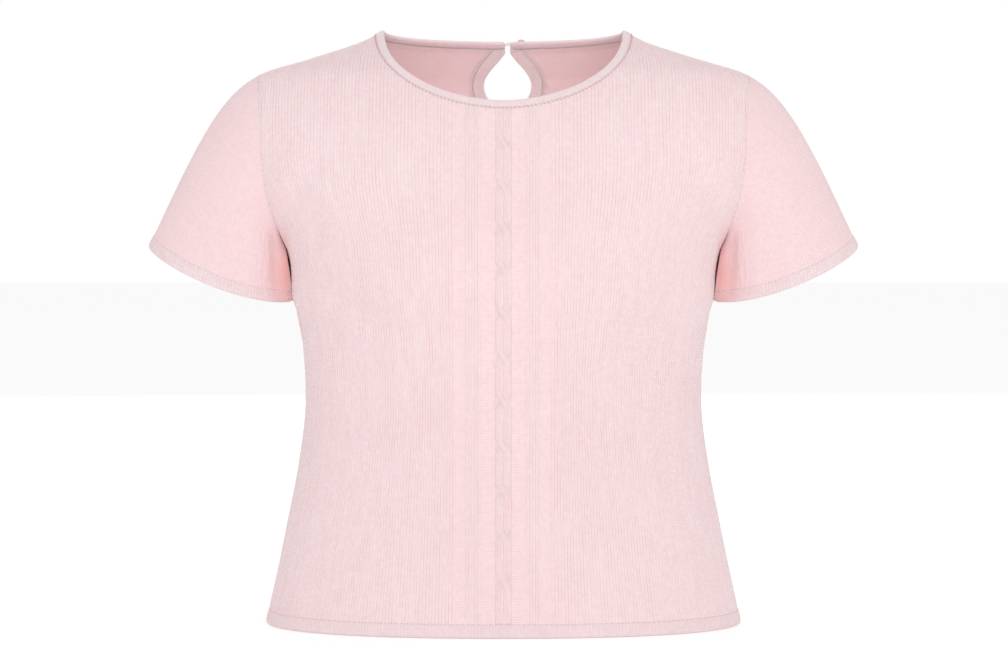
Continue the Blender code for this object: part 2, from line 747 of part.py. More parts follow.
def back_panel(material):
    """The plain back, with the keyhole and its binding's width cut out from the neck."""
    places = [keyhole_place(turn, BINDING_WIDTH) for turn in KEYHOLE_TURNS]
    cut = [(across, course_at(height)) for across, height in places]
    right_end = -closure_angle(keyhole_edge(0.0, BINDING_WIDTH + EDGE_STEP / 4)[0])
    left_end = 2 * math.pi - closure_angle(keyhole_edge(1.0, BINDING_WIDTH + EDGE_STEP / 4)[0])
    right = [angle for angle in BACK_RIGHT_ANGLES[::-1] if angle > right_end]
    left = [angle for angle in BACK_LEFT_ANGLES[::-1] if angle < left_end]
    neck = neck_run("back", right) + cut + neck_run("back", left)
    outline, walls = panel_outline("back", neck)
    outer = grid_points(plain_columns(WIDEST_ACROSS, OUTER_STEP), course_steps(OUTER_STEP))
    inner = grid_points(plain_columns(WIDEST_ACROSS, INNER_STEP), course_steps(INNER_STEP))
    return panel_wall("back_panel", "back", outline, walls,
                      points_inside(outer, outline, CABLE_STEP),
                      points_inside(inner, outline, CABLE_STEP), no_relief, material)


def sleeve_wall(name, material, flip):
    """A sleeve from the armhole seam to its cuff, a tube with a plainer sheet inside."""
    along = np.linspace(0.0, 1.0, ALONG_SLEEVE + 1)
    rows = {"outer": [], "inner": []}
    for angle in SLEEVE_ANGLES:
        length = sleeve_length(angle)
        seam_wall, start = armhole_wall(angle)
        end = length - CUFF_WELT - SEAM_GAP / 2
        folds = SLEEVE_FOLDS["front" if math.sin(angle) >= 0 else "back"]
        outer_row = []
        inner_row = []
        for share in along:
            distance = start + (end - start) * share
            point = sleeve_point(angle, from_start=distance)
            normal = sleeve_normal(angle, length - max(distance, WALL_STEP / 2))
            fade = math.sqrt(math.sin(math.pi * min(share * SLEEVE_FOLD_REACH, 1.0)))
            rise = fold_depth(folds, point[0], point[2]) * fade * abs(math.sin(angle))
            wall = seam_wall if share == 0.0 else normal
            outer_row.append(point + rise * normal)
            inner_row.append(point + rise * normal - CLOTH * wall)
        rows["outer"].append(outer_row)
        rows["inner"].append(inner_row[::2])
    points = []
    quads = []
    starts = {}
    for key, table in rows.items():
        size = len(table[0])
        starts[key] = (len(points), size)
        for row in table:
            points += row
        base = starts[key][0]
        for k in range(ROUND_SLEEVE):
            n = (k + 1) % ROUND_SLEEVE
            for j in range(size - 1):
                quads.append((base + k * size + j, base + k * size + j + 1,
                              base + n * size + j + 1, base + n * size + j))
    outer_base, outer_size = starts["outer"]
    inner_base, inner_size = starts["inner"]
    for k in range(ROUND_SLEEVE):
        n = (k + 1) % ROUND_SLEEVE
        for outer_j, inner_j in ((0, 0), (outer_size - 1, inner_size - 1)):
            quads.append((outer_base + k * outer_size + outer_j, outer_base + n * outer_size + outer_j,
                          inner_base + n * inner_size + inner_j, inner_base + k * inner_size + inner_j))
    placed = mirrored(points) if flip else points
    return add_solid(name, placed, split_quads(quads), material)


def cuff_band(name, material, flip):
    """The turned edge of a sleeve."""
    points = []
    for angle in SLEEVE_ANGLES:
        normal = sleeve_normal(angle, CUFF_WELT / 2)
        for width, thick in WELT_PROFILE:
            from_end = (CUFF_WELT - SEAM_GAP / 2) * (1 - width)
            point = sleeve_point(angle, from_end=from_end)
            points.append(point + (WELT_PROUD - WELT_THICKNESS * (1 - thick)) * normal)
    placed = mirrored(points) if flip else points
    return add_solid(name, placed, band_faces(ROUND_SLEEVE, len(WELT_PROFILE), True), material)


def hem_band(name, side, material):
    """The turned lower edge of a panel, from side seam to side seam."""
    middle = HEM_BOTTOM + HEM_WELT / 2
    reach = across_side(side, middle) - SEAM_GAP / 2
    places = np.linspace(-1.0, 1.0, round(2 * reach / EDGE_STEP) + 1)
    points = []
    for place in places:
        normal = body_normal(side, place * reach, middle)
        for width, thick in WELT_PROFILE:
            height = HEM_BOTTOM + (HEM_WELT - SEAM_GAP / 2) * (1 - width)
            across = place * (across_side(side, height) - SEAM_GAP / 2)
            point = body_point(side, across, height)
            points.append(point + (WELT_PROUD - WELT_THICKNESS * (1 - thick)) * normal)
    return add_solid(name, points, band_faces(len(places), len(WELT_PROFILE), False), material)


def neck_frame(angle):
    """Point, direction out of the cloth and direction away from the panels, on the neckline."""
    turn = NECK_NORMAL_TURN
    side, across, height, point = neck_place(angle)
    normal = body_normal(side, across, height)
    along = unit(neck_place(angle + turn)[3] - neck_place(angle - turn)[3])
    return point, normal, unit(np.cross(along, normal))


# The neckband's rounded ends: where its extra rings lie in the first step, and how full they are
END_RINGS = (0.12, 0.35)
END_ROUNDING = (0.45, 0.80, 1.0)


def neckband(material):
    """A turned band from one end of the closure round the front to the other end."""
    angles = np.concatenate((BACK_RIGHT_ANGLES, FRONT_NECK_ANGLES[1:-1], BACK_LEFT_ANGLES))
    first = np.interp(END_RINGS, (0.0, 1.0), angles[:2])
    last = np.interp(END_RINGS, (0.0, 1.0), angles[:-3:-1])[::-1]
    angles = np.concatenate((angles[:1], first, angles[1:-1], last, angles[-1:]))
    points = []
    for number, angle in enumerate(angles):
        point, normal, away = neck_frame(angle)
        from_tip = min(number, len(angles) - 1 - number)
        fullness = END_ROUNDING[min(from_tip, len(END_ROUNDING) - 1)]
        for width, thick in WELT_PROFILE:
            rise = SEAM_GAP / 2 + (NECKBAND_WIDTH - SEAM_GAP / 2) * width * fullness
            rise += NECKBAND_WIDTH * (1 - fullness) / 3
            out = WELT_PROUD - WELT_THICKNESS * (0.5 + (0.5 - thick) * fullness)
            points.append(point + rise * away + out * normal)
    return add_solid("neckband", points, band_faces(len(angles), len(WELT_PROFILE), False), material)


# The binding in section: share of its width, share of its thickness, with three ridges outside
BINDING_PROFILE = ((0.0, 0.25), (0.0, 0.75), (0.14, 1.0), (0.34, 0.72), (0.56, 1.0), (0.74, 0.72),
                   (0.90, 1.0), (1.0, 0.7), (1.0, 0.0), (0.5, 0.0), (0.1, 0.0))


def keyhole_binding(material):
    """The ribbed binding round the keyhole, from one end of the neckband to the other."""
    points = []
    for turn in KEYHOLE_TURNS:
        for width, thick in BINDING_PROFILE:
            span = (BINDING_WIDTH - 1.5 * SEAM_GAP) * width
            across, height = keyhole_place(turn, span)
            height = min(height, height_at(course_at(KEYHOLE_TOP) - 1.5 * SEAM_GAP))
            point = body_point("back", across, height)
            normal = body_normal("back", across, height)
            points.append(point + (WELT_PROUD - WELT_THICKNESS * (1 - thick)) * normal)
    faces = band_faces(len(KEYHOLE_TURNS), len(BINDING_PROFILE), False)
    return add_solid("keyhole_binding", points, faces, material)


BUTTON_X = 0.0168
BUTTON_SIDES = 20
BAND_MIDDLE = 0.5        # share of the neckband's width
# The button turned on its stem: radius, distance from the band
BUTTON_PROFILE = ((0.0013, 0.0003), (0.0013, 0.0020), (0.0040, 0.0020), (0.0045, 0.0026),
                  (0.0045, 0.0034), (0.0040, 0.0040), (0.0028, 0.0036))
# The loop's thread: its own size, half the space between its two sides at the band's left end and
# at its right end, and how it lies there
LOOP_RADIUS = 0.0005
LOOP_SIDES = 6
LOOP_TURNS = 4
LOOP_HALF_AT_START = 0.0009
LOOP_HALF_AT_EDGE = 0.0011
LOOP_BEHIND_START = 0.0012
LOOP_BEFORE_EDGE = 0.0006
LOOP_BEFORE_STEM = 0.0020
LOOP_OVER_EDGE = 1.4     # times its height over the flat of the band


def band_frame(x, share):
    """A point on the outside of the neckband behind the wearer's neck, and its axes."""
    point, normal, away = neck_frame(2 * math.pi - closure_angle(x))
    point = point + away * NECKBAND_WIDTH * share + normal * WELT_PROUD
    return point, normal, away, np.cross(normal, away)


def button(material):
    """A round button on a short stem, outside the right end of the neckband."""
    centre, normal, up, across = band_frame(BUTTON_X, BAND_MIDDLE)
    points = []
    for radius, rise in BUTTON_PROFILE:
        for k in range(BUTTON_SIDES):
            turn = 2 * math.pi * k / BUTTON_SIDES
            points.append(centre + rise * normal
                          + radius * (math.cos(turn) * across + math.sin(turn) * up))
    faces = band_faces(len(BUTTON_PROFILE), BUTTON_SIDES, False)
    return add_solid("button", points, faces, material)


def button_loop(material):
    """A thread from the left end of the neckband, round the button's stem and back."""
    stem, stem_out, stem_up, _ = band_frame(BUTTON_X, BAND_MIDDLE)
    left_end, left_out, _, _ = band_frame(CLOSURE_CENTRE - CLOSURE_GAP / 2, BAND_MIDDLE)
    right_end = band_frame(CLOSURE_CENTRE + CLOSURE_GAP / 2, BAND_MIDDLE)[0]
    right = np.array((1.0, 0.0, 0.0))
    lie = LOOP_RADIUS + SEAM_GAP
    reach = BUTTON_PROFILE[0][0] + lie
    start = left_end + lie * right - LOOP_BEHIND_START * left_out
    edge = right_end + LOOP_OVER_EDGE * lie * stem_out - LOOP_BEFORE_EDGE * right
    level = stem + lie * stem_out
    path = []
    for sign in (1.0, -1.0):
        up = sign * stem_up
        half = [start + LOOP_HALF_AT_START * up,
                edge + LOOP_HALF_AT_EDGE * up,
                level + reach * up - LOOP_BEFORE_STEM * right]
        half += [level + reach * (math.cos(turn) * right + math.sin(turn) * up)
                 for turn in np.linspace(math.pi / 2, 0.0, LOOP_TURNS)]
        path += half if sign > 0 else half[-2::-1]
    points = []
    for number, point in enumerate(path):
        before = path[max(number - 1, 0)]
        after = path[min(number + 1, len(path) - 1)]
        along = unit(after - before)
        side = unit(np.cross(along, stem_out))
        out = np.cross(side, along)
        for k in range(LOOP_SIDES):
            turn = 2 * math.pi * k / LOOP_SIDES
            points.append(point + LOOP_RADIUS * (math.cos(turn) * side + math.sin(turn) * out))
    return add_solid("button_loop", points, band_faces(len(path), LOOP_SIDES, False), material)


# Colour and roughness of each material
FINISHES = {
    "pale_pink_knit": ((0.90, 0.72, 0.74), 0.90),
    "pale_pink_welt": ((0.89, 0.70, 0.72), 0.90),
    "pink_binding": ((0.84, 0.60, 0.62), 0.90),
    "pink_button": ((0.86, 0.62, 0.64), 0.35),
    "pink_thread": ((0.80, 0.52, 0.54), 0.70),
}


def build():
    for old in list(bpy.data.objects):
        bpy.data.objects.remove(old)
    knit, edge, binding, shell, thread = (
        plain_material(name, *finish) for name, finish in FINISHES.items())
    front_panel(knit)
    back_panel(knit)
    hem_band("hem_front", "front", edge)
    hem_band("hem_back", "back", edge)
    for name, flip in (("right", False), ("left", True)):
        sleeve_wall("sleeve_" + name, knit, flip)
        cuff_band("cuff_" + name, edge, flip)
    neckband(edge)
    keyhole_binding(binding)
    button(shell)
    button_loop(thread)


build()
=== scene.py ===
"""A short-sleeved cable knit top in pale pink, filled out as if worn, on a plain white floor."""

import math

import bmesh
import bpy
import numpy as np
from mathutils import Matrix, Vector
from mathutils.geometry import delaunay_2d_cdt
from mathutils.kdtree import KDTree


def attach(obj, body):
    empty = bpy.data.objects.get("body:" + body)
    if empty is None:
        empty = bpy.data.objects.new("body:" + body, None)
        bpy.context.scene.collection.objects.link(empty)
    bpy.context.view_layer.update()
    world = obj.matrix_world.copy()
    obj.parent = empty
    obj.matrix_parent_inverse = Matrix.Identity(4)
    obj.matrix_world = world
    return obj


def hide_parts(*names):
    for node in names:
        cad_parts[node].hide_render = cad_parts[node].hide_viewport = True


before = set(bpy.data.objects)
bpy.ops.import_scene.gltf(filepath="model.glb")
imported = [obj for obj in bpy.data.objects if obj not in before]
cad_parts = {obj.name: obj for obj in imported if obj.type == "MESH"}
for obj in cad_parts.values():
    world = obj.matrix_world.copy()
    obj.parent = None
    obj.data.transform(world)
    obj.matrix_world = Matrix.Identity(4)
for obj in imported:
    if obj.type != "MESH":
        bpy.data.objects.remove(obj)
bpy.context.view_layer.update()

# Cloth, in metres
CLOTH = 0.0020
WELT_THICKNESS = 0.0034
WELT_PROUD = 0.0007
SEAM_GAP = 0.00006
COURSE = 0.0023          # one knit row
WALE_WIDTH = 0.0027      # one knit column, on average
ROW_STEP = 0.0069        # one mesh row, three courses

# The top's form, as its model has it
HEM_BOTTOM = -0.5490
HEM_WELT = 0.0120
SHOULDER_END = -0.0400
NECK_TOP = -0.0030
SQUARENESS = 2.3
BODY_COLUMNS = ("height", "half_width", "front_depth", "back_depth")
BODY_SECTIONS = np.array((
    (-0.5600, 0.2232, 0.1290, 0.1260),
    (-0.5490, 0.2210, 0.1280, 0.1250),
    (-0.5100, 0.2123, 0.1240, 0.1220),
    (-0.4540, 0.2006, 0.1180, 0.1150),
    (-0.3980, 0.1899, 0.1110, 0.1050),
    (-0.3420, 0.1838, 0.1070, 0.0970),
    (-0.3050, 0.1850, 0.1110, 0.0960),
    (-0.2680, 0.1902, 0.1220, 0.1000),
    (-0.2450, 0.1955, 0.1290, 0.1040),
    (-0.2150, 0.2000, 0.1330, 0.1080),
    (-0.2000, 0.2030, 0.1330, 0.1100),
    (-0.1840, 0.2120, 0.1310, 0.1120),
    (-0.1600, 0.2290, 0.1260, 0.1140),
    (-0.1300, 0.2435, 0.1190, 0.1150),
    (-0.1000, 0.2495, 0.1090, 0.1120),
    (-0.0700, 0.2455, 0.0960, 0.1040),
    (-0.0550, 0.2385, 0.0870, 0.0970),
    (-0.0400, 0.2249, 0.0760, 0.0880),
    (-0.0270, 0.1830, 0.0650, 0.0780),
    (-0.0150, 0.1450, 0.0540, 0.0680),
    (-0.0080, 0.1270, 0.0470, 0.0610),
    (-0.0030, 0.1180, 0.0420, 0.0560),
))
FACING = {"front": -1.0, "back": 1.0}
MIRRORS = {"right": np.array((1.0, 1.0, 1.0)), "left": np.array((-1.0, 1.0, 1.0))}

ARMHOLE_HALF_HEIGHT = 0.080
ARMHOLE_HALF_DEPTH = 0.060
ARMHOLE_CENTRE = SHOULDER_END - ARMHOLE_HALF_HEIGHT

NECK_HALF_WIDTH = 0.1180
NECK_DROP = {"front": 0.0707, "back": 0.0090}
NECK_SQUARENESS = 1.9
NECKBAND_WIDTH = 0.0082
CLOSURE_CENTRE = 0.0040
CLOSURE_GAP = 0.0048

KEYHOLE_RADIUS = 0.0227
KEYHOLE_WIDEST = -0.0458
KEYHOLE_TOP = NECK_TOP - NECK_DROP["back"]
KEYHOLE_STRAIGHT = 0.30
BINDING_WIDTH = 0.0110
BINDING_WALES = 60       # from one of its ends to the other
BINDING_RINGS = 111
BINDING_START = 0.036    # share of the way round between an end and the first of these rings

CUFF_TIP = (0.3300, -0.1997)
CUFF_INNER = (0.1966, -0.2495)
CUFF_HALF_DEPTH = 0.050
CUFF_FRONT_TILT = 0.0075
CUFF_SAG = 0.0050
CUFF_WELT = 0.0120

# Each track of a sleeve is a curve from armhole to cuff. A row adds to its direction and pull at
# that end: for every track, and by how far it runs outside, in front, to a side or under the arm.
TRACK_SAMPLES = 61
TRACK_COLUMNS = ("x", "y", "z", "pull")
TRACK_LEAVES = {
    "every": (0.81, 0.0, -0.56, 0.0285),
    "outer": (0.09, 0.0, 0.14, 0.0165),
    "front": (0.0, 0.12, 0.0, 0.0),
    "aside": (0.0, 0.0, 0.0, 0.006),
    "under": (-0.68, 0.0, 0.0, 0.003),
}
TRACK_ARRIVES = {
    "every": (0.15, 0.0, -0.95, 0.047),
    "outer": (0.30, 0.0, 0.0, 0.036),
    "front": (0.0, -0.06, 0.0, 0.0),
    "under": (0.03, 0.0, 0.0, 0.004),
}

# Columns down the front: distance from the centre line, and wales out to there
CABLE_HALF = 0.0072
RIB_FROM = 0.0205
RIB_TO = 0.0338
PURL_TO = 0.0433
WALE_EDGES = ((0.0, CABLE_HALF, RIB_FROM, RIB_TO, PURL_TO), (0.0, 3.0, 8.0, 13.0, 17.0))
HALF_WALES = 95.0        # from the centre line to the side seam
WIDEST_FROM = -0.1000    # above this height the wales keep their distance
COLUMN_EDGE = 0.0012
PURL_SINK = 0.0006
PURL_FLATTER = 0.75      # share of the wales' relief that a purl column loses
RIB_RISE = 0.0003
STRAND_RISE = 0.0018
STRAND_BASE = 0.0012     # height of the cloth between the strands, away from a crossing
CROSSING_LIFT = 0.0006
CROSSING_SINK = 0.0013
STRAND_HALF = CABLE_HALF / 2
STRAND_SQUARENESS = 2.4
CABLE_END = 1.6          # crossing half lengths above the top crossing, where it turns plain
CROSSING_HALF = 0.0085
FIRST_CROSSING = -0.1054
LAST_CROSSING = -0.4982
CROSSINGS = 11

# Relief of the knit itself
WALE_RISE = 0.00068
WALE_ROUND = 0.8         # power that rounds a wale, and a strand
WALE_SWING = 0.20        # share of that rise by which wales stand out more or less
SWING_TURNS = (2.4, 1.9)     # how this changes from wale to wale
SWING_ALONG = 28.0       # and along a wale
SWING_WARP = 1.7
SLEEVE_WALE_RISE = 0.00016
BAND_WALE_RISE = 0.00018
CABLE_WALE_RISE = 0.00048
EDGE_RISE = 0.00022      # how far the cloth stands out at its seams
WALE_SAMPLES = 3
CABLE_SAMPLES = 5
CABLE_ROW = 0.00115
INNER_STEP = 0.0080
EDGE_STEP = 0.0030
SIDE_SAMPLES = 1.5       # points of a panel's side to a mesh row
ARMHOLE_SAMPLES = 61
RIDGE_SAMPLES = 44
KEYHOLE_SAMPLES = 91
CORNER_CLEAR = 0.0005
EDGE_CLEAR = 0.4         # mesh steps that the outer points of a panel keep from its edge
INNER_CLEAR = 0.6        # and its inner points
FENCE_STEP = 0.15        # mesh steps between the edge's points for that
SLEEVE_WALES = 128
SLEEVE_ROW = 0.0050
SHELL_SHARP = 75         # degrees past which an edge of a panel or sleeve stays sharp
BAND_SHARP = 80
BUTTON_SHARP = 50

# Soft folds, seen from the front: a line from one point to another, its rise and half width
BODY_FOLDS = {
    "front": (
        (-0.196, -0.214, -0.118, -0.262, -0.0034, 0.014),
        (-0.188, -0.246, -0.104, -0.286, 0.0018, 0.013),
        (-0.186, -0.272, -0.112, -0.308, -0.0022, 0.014),
        (0.197, -0.216, 0.124, -0.268, -0.0032, 0.015),
        (0.187, -0.250, 0.098, -0.284, 0.0017, 0.012),
        (0.184, -0.280, 0.120, -0.306, -0.0024, 0.013),
        (-0.205, -0.176, -0.165, -0.120, -0.0026, 0.011),
        (0.206, -0.172, 0.170, -0.126, -0.0024, 0.012),
        (-0.176, -0.260, -0.092, -0.273, -0.0030, 0.013),
        (0.180, -0.258, 0.106, -0.277, -0.0036, 0.014),
    ),
    "back": (
        (-0.190, -0.220, -0.100, -0.300, -0.0030, 0.016),
        (-0.176, -0.268, -0.060, -0.340, 0.0020, 0.017),
        (-0.160, -0.330, -0.050, -0.372, -0.0026, 0.016),
        (0.192, -0.226, 0.112, -0.292, -0.0032, 0.015),
        (0.178, -0.280, 0.066, -0.332, 0.0018, 0.015),
        (0.158, -0.322, 0.040, -0.380, -0.0022, 0.018),
        (-0.150, -0.110, -0.120, -0.190, -0.0022, 0.015),
        (0.156, -0.118, 0.126, -0.182, -0.0020, 0.014),
    ),
}
FOLD_FADE = 0.020        # width beside a seam in which the folds die out
FOLD_END = 0.25          # share of its rise that a fold keeps at its ends
FOLD_FROM = 0.15         # where along a sine's arch it starts
SLEEVE_FADE = 0.030      # length below the armhole in which a sleeve's folds rise
END_ROUND = 0.0035       # length of the neckband's rounded ends
END_FULL = 0.45          # share of its width that is left at their tips
TUCK = 0.0175            # how far the cloth under the arm lies in towards the body
TUCK_CLEAR = 0.0006      # its distance from the body
TUCK_BELOW = 0.001       # how far below the armhole's edge it starts
UNDERARM_SHADE_TOP = -0.176       # heights between which shade is painted into the cloth under the arm as a deeper red
UNDERARM_SHADE_BOTTOM = -0.2750
UNDERARM_SHADE_FADE = 0.045
UNDERARM_SHADE_X = 0.2010         # distance from the centre line where that painted shade is deepest
UNDERARM_SHADE_EDGE = 0.004       # width in which it sets in
UNDERARM_SHADE_REACH = 0.0130     # and width in which it fades outwards
SLEEVE_FOLDS = {
    "front": (
        (0.2095, -0.184, 0.2080, -0.244, -0.0036, 0.0055),
        (0.2290, -0.190, 0.2300, -0.242, 0.0014, 0.0070),
        (0.2440, -0.150, 0.2520, -0.226, -0.0012, 0.0090),
        (0.2168, -0.190, 0.2156, -0.206, 0.0005, 0.0012),
        (0.2156, -0.206, 0.2170, -0.226, 0.0006, 0.0013),
        (0.2192, -0.186, 0.2204, -0.200, 0.0006, 0.0012),
        (0.2204, -0.200, 0.2186, -0.219, 0.0005, 0.0012),
        (0.2186, -0.219, 0.2200, -0.238, 0.0006, 0.0013),
        (0.2236, -0.190, 0.2222, -0.206, 0.0005, 0.0012),
        (0.2222, -0.206, 0.2238, -0.224, 0.0006, 0.0013),
        (0.2238, -0.224, 0.2226, -0.242, 0.0005, 0.0012),
    ),
    "back": (
        (0.2170, -0.176, 0.2190, -0.226, -0.0026, 0.0070),
        (0.2370, -0.160, 0.2440, -0.224, -0.0016, 0.0100),
    ),
}


# The body's face

SECTION_HEIGHTS = BODY_SECTIONS[:, BODY_COLUMNS.index("height")]
SECTION_SLOPES = np.gradient(BODY_SECTIONS, SECTION_HEIGHTS, axis=0)


def section(column, at):
    """A column of the sections at the heights given, on a smooth curve through its rows."""
    place = BODY_COLUMNS.index(column)
    values = BODY_SECTIONS[:, place]
    slopes = SECTION_SLOPES[:, place]
    row = np.clip(np.searchsorted(SECTION_HEIGHTS, at) - 1, 0, len(SECTION_HEIGHTS) - 2)
    span = SECTION_HEIGHTS[row + 1] - SECTION_HEIGHTS[row]
    t = (at - SECTION_HEIGHTS[row]) / span
    start = (1 + 2 * t) * (1 - t) ** 2 * values[row] + t * (1 - t) ** 2 * span * slopes[row]
    end = t ** 2 * (3 - 2 * t) * values[row + 1] - t ** 2 * (1 - t) * span * slopes[row + 1]
    return start + end


def body_ring(side, height, angle):
    """Points of the body's face: angle 0 at the centre line, a quarter turn at the side."""
    half_width = section("half_width", height)
    depth = section(side + "_depth", height)
    sine = np.sin(angle)
    cosine = np.cos(angle)
    power = np.abs(sine) ** SQUARENESS + np.abs(cosine) ** SQUARENESS
    radius = power ** (-1 / SQUARENESS)
    x = half_width * radius * sine
    y = FACING[side] * depth * radius * cosine
    return np.stack((x, y, height + 0 * x), axis=-1)


RING_ANGLES = np.radians(np.linspace(0.0, 99.0, 67))   # a quarter turn is one of them


def run_lengths(points):
    """Lengths up to each point, along a line of points or each row of a table of them."""
    steps = np.linalg.norm(np.diff(points, axis=-2), axis=-1)
    return np.concatenate((np.zeros(steps.shape[:-1] + (1,)), np.cumsum(steps, axis=-1)), axis=-1)


def ring_lengths(side, height):
    """Points of the rings at the heights given, and the lengths round from the centre line."""
    points = body_ring(side, height[:, None], RING_ANGLES[None, :])
    return points, run_lengths(points)


def row_interp(wanted, table, results):
    """For each row of a rising table, the result where the table takes the wanted value."""
    row = np.clip((table < wanted[:, None]).sum(axis=1) - 1, 0, table.shape[1] - 2)[:, None]
    low = np.take_along_axis(table, row, 1)[:, 0]
    high = np.take_along_axis(table, row + 1, 1)[:, 0]
    share = np.clip((wanted - low) / np.maximum(high - low, 1e-12), 0.0, 1.0)
    first = np.take_along_axis(results, row, 1)[:, 0]
    second = np.take_along_axis(results, row + 1, 1)[:, 0]
    return first + share * (second - first)


def angle_at(side, across, height):
    """The ring angles at which the face lies `across` round from the centre line."""
    _, lengths = ring_lengths(side, height)
    angles = np.broadcast_to(RING_ANGLES, lengths.shape)
    return row_interp(np.abs(across), lengths, angles) * np.sign(across)


def body_frame(side, across, height):
    """Points and outward directions of the body's face."""
    angle = angle_at(side, across, height)
    turn = 0.004
    step = 0.0008
    point = body_ring(side, height, angle)
    round_body = body_ring(side, height, angle + turn) - body_ring(side, height, angle - turn)
    low = np.maximum(height - step, BODY_SECTIONS[0, 0])
    high = np.minimum(height + step, NECK_TOP)
    up_body = body_ring(side, high, angle) - body_ring(side, low, angle)
    return point, unit(np.cross(round_body, up_body) * -FACING[side])


def across_side(side, height):
    """Lengths round from the centre line to the side seam or the ridge of the shoulder."""
    _, lengths = ring_lengths(side, height)
    place = (math.pi / 2) / (RING_ANGLES[1] - RING_ANGLES[0])
    low = int(place)
    return lengths[:, low] + (place - low) * (lengths[:, low + 1] - lengths[:, low])


def across_at_x(side, height, x):
    points, lengths = ring_lengths(side, height)
    reached = np.maximum.accumulate(points[:, :, 0], axis=1)
    away = np.minimum(np.abs(x), reached[:, -1] * (1 - 1e-9))
    return row_interp(away, reached, lengths) * np.sign(x)


def across_at_depth(side, height, depth):
    points, lengths = ring_lengths(side, height)
    return row_interp(-depth, -points[:, :, 1] * FACING[side], lengths)


# Length of the cloth up from the hem at each height, followed half-way to the side
COURSE_SAMPLES = 400
COURSE_HEIGHTS = np.linspace(BODY_SECTIONS[0, 0], NECK_TOP, COURSE_SAMPLES)
COURSE_LENGTHS = run_lengths(body_ring("front", COURSE_HEIGHTS, np.full(COURSE_SAMPLES, math.pi / 4)))


def course_at(height):
    return np.interp(height, COURSE_HEIGHTS, COURSE_LENGTHS)


def height_at(course):
    return np.interp(course, COURSE_LENGTHS, COURSE_HEIGHTS)


# Knit columns, called wales: how many from the centre line to a place on the cloth

def wales_at(side, across, height):
    away = np.abs(across)
    edge = across_side(side, np.minimum(height, WIDEST_FROM))
    centre = np.interp(away, WALE_EDGES[0], WALE_EDGES[1])
    last = WALE_EDGES[1][-1]
    outside = last + (away - PURL_TO) / (edge - PURL_TO) * (HALF_WALES - last)
    return np.where(away < PURL_TO, centre, outside) * np.sign(across)


def across_at_wale(side, wale, height):
    away = np.abs(wale)
    edge = across_side(side, np.minimum(height, WIDEST_FROM))
    centre = np.interp(away, WALE_EDGES[1], WALE_EDGES[0])
    last = WALE_EDGES[1][-1]
    outside = PURL_TO + (away - last) / (HALF_WALES - last) * (edge - PURL_TO)
    return np.where(away < last, centre, outside) * np.sign(wale)


# Folds and relief

def fold_rise(folds, x, z):
    """How far soft folds move the cloth out at each point, seen from the front."""
    total = np.zeros(len(x))
    for from_x, from_z, to_x, to_z, rise, half_width in folds:
        run_x = to_x - from_x
        run_z = to_z - from_z
        share = ((x - from_x) * run_x + (z - from_z) * run_z) / (run_x ** 2 + run_z ** 2)
        along = np.clip(share, 0.0, 1.0)
        away = np.hypot(x - from_x - along * run_x, z - from_z - along * run_z)
        arch = np.sin(math.pi * (FOLD_FROM + (1 - 2 * FOLD_FROM) * along))
        fade = FOLD_END + (1 - FOLD_END) * arch
        total += rise * fade * np.exp(-(away / half_width) ** 2)
    return total


def seam_fade(point):
    """0 on the armhole's seam, rising to 1 a little way in from it."""
    lift = (point[:, 2] - ARMHOLE_CENTRE) / ARMHOLE_HALF_HEIGHT
    inside = ARMHOLE_HALF_DEPTH * np.sqrt(np.maximum(0.0, 1.0 - lift * lift))
    depth = np.abs(point[:, 1])
    low = point[:, 2] - ARMHOLE_CENTRE + ARMHOLE_HALF_HEIGHT
    from_underarm = np.hypot(depth, low)
    away = np.where(np.abs(lift) < 1, np.minimum(depth - inside, from_underarm), from_underarm)
    return np.clip(away / FOLD_FADE, 0.0, 1.0)


def smooth_step(value, edge, width):
    t = np.clip((value - edge) / width + 0.5, 0.0, 1.0)
    return t * t * (3 - 2 * t)


def wale_relief(wale):
    """The rounded face of one knit column, with a groove at each whole number."""
    return np.abs(np.sin(math.pi * wale)) ** WALE_ROUND


def uneven_relief(wale, course):
    """Wales that stand out more in some places than in others."""
    column = np.floor(wale)
    first, second = SWING_TURNS
    swing = np.sin(first * column + SWING_WARP * np.sin(SWING_ALONG * course + second * column))
    return WALE_RISE * (1 - WALE_SWING + WALE_SWING * swing) * wale_relief(wale)


CROSSING_COURSES = np.linspace(course_at(LAST_CROSSING), course_at(FIRST_CROSSING), CROSSINGS)


def strand(place, rise):
    """One strand of three wales in section."""
    full = (1.0 - np.minimum(np.abs(place), 1.0) ** STRAND_SQUARENESS) ** WALE_ROUND
    return rise * full + CABLE_WALE_RISE * np.minimum(full * 2, 1.0) * wale_relief(place * 1.5 + 0.5)


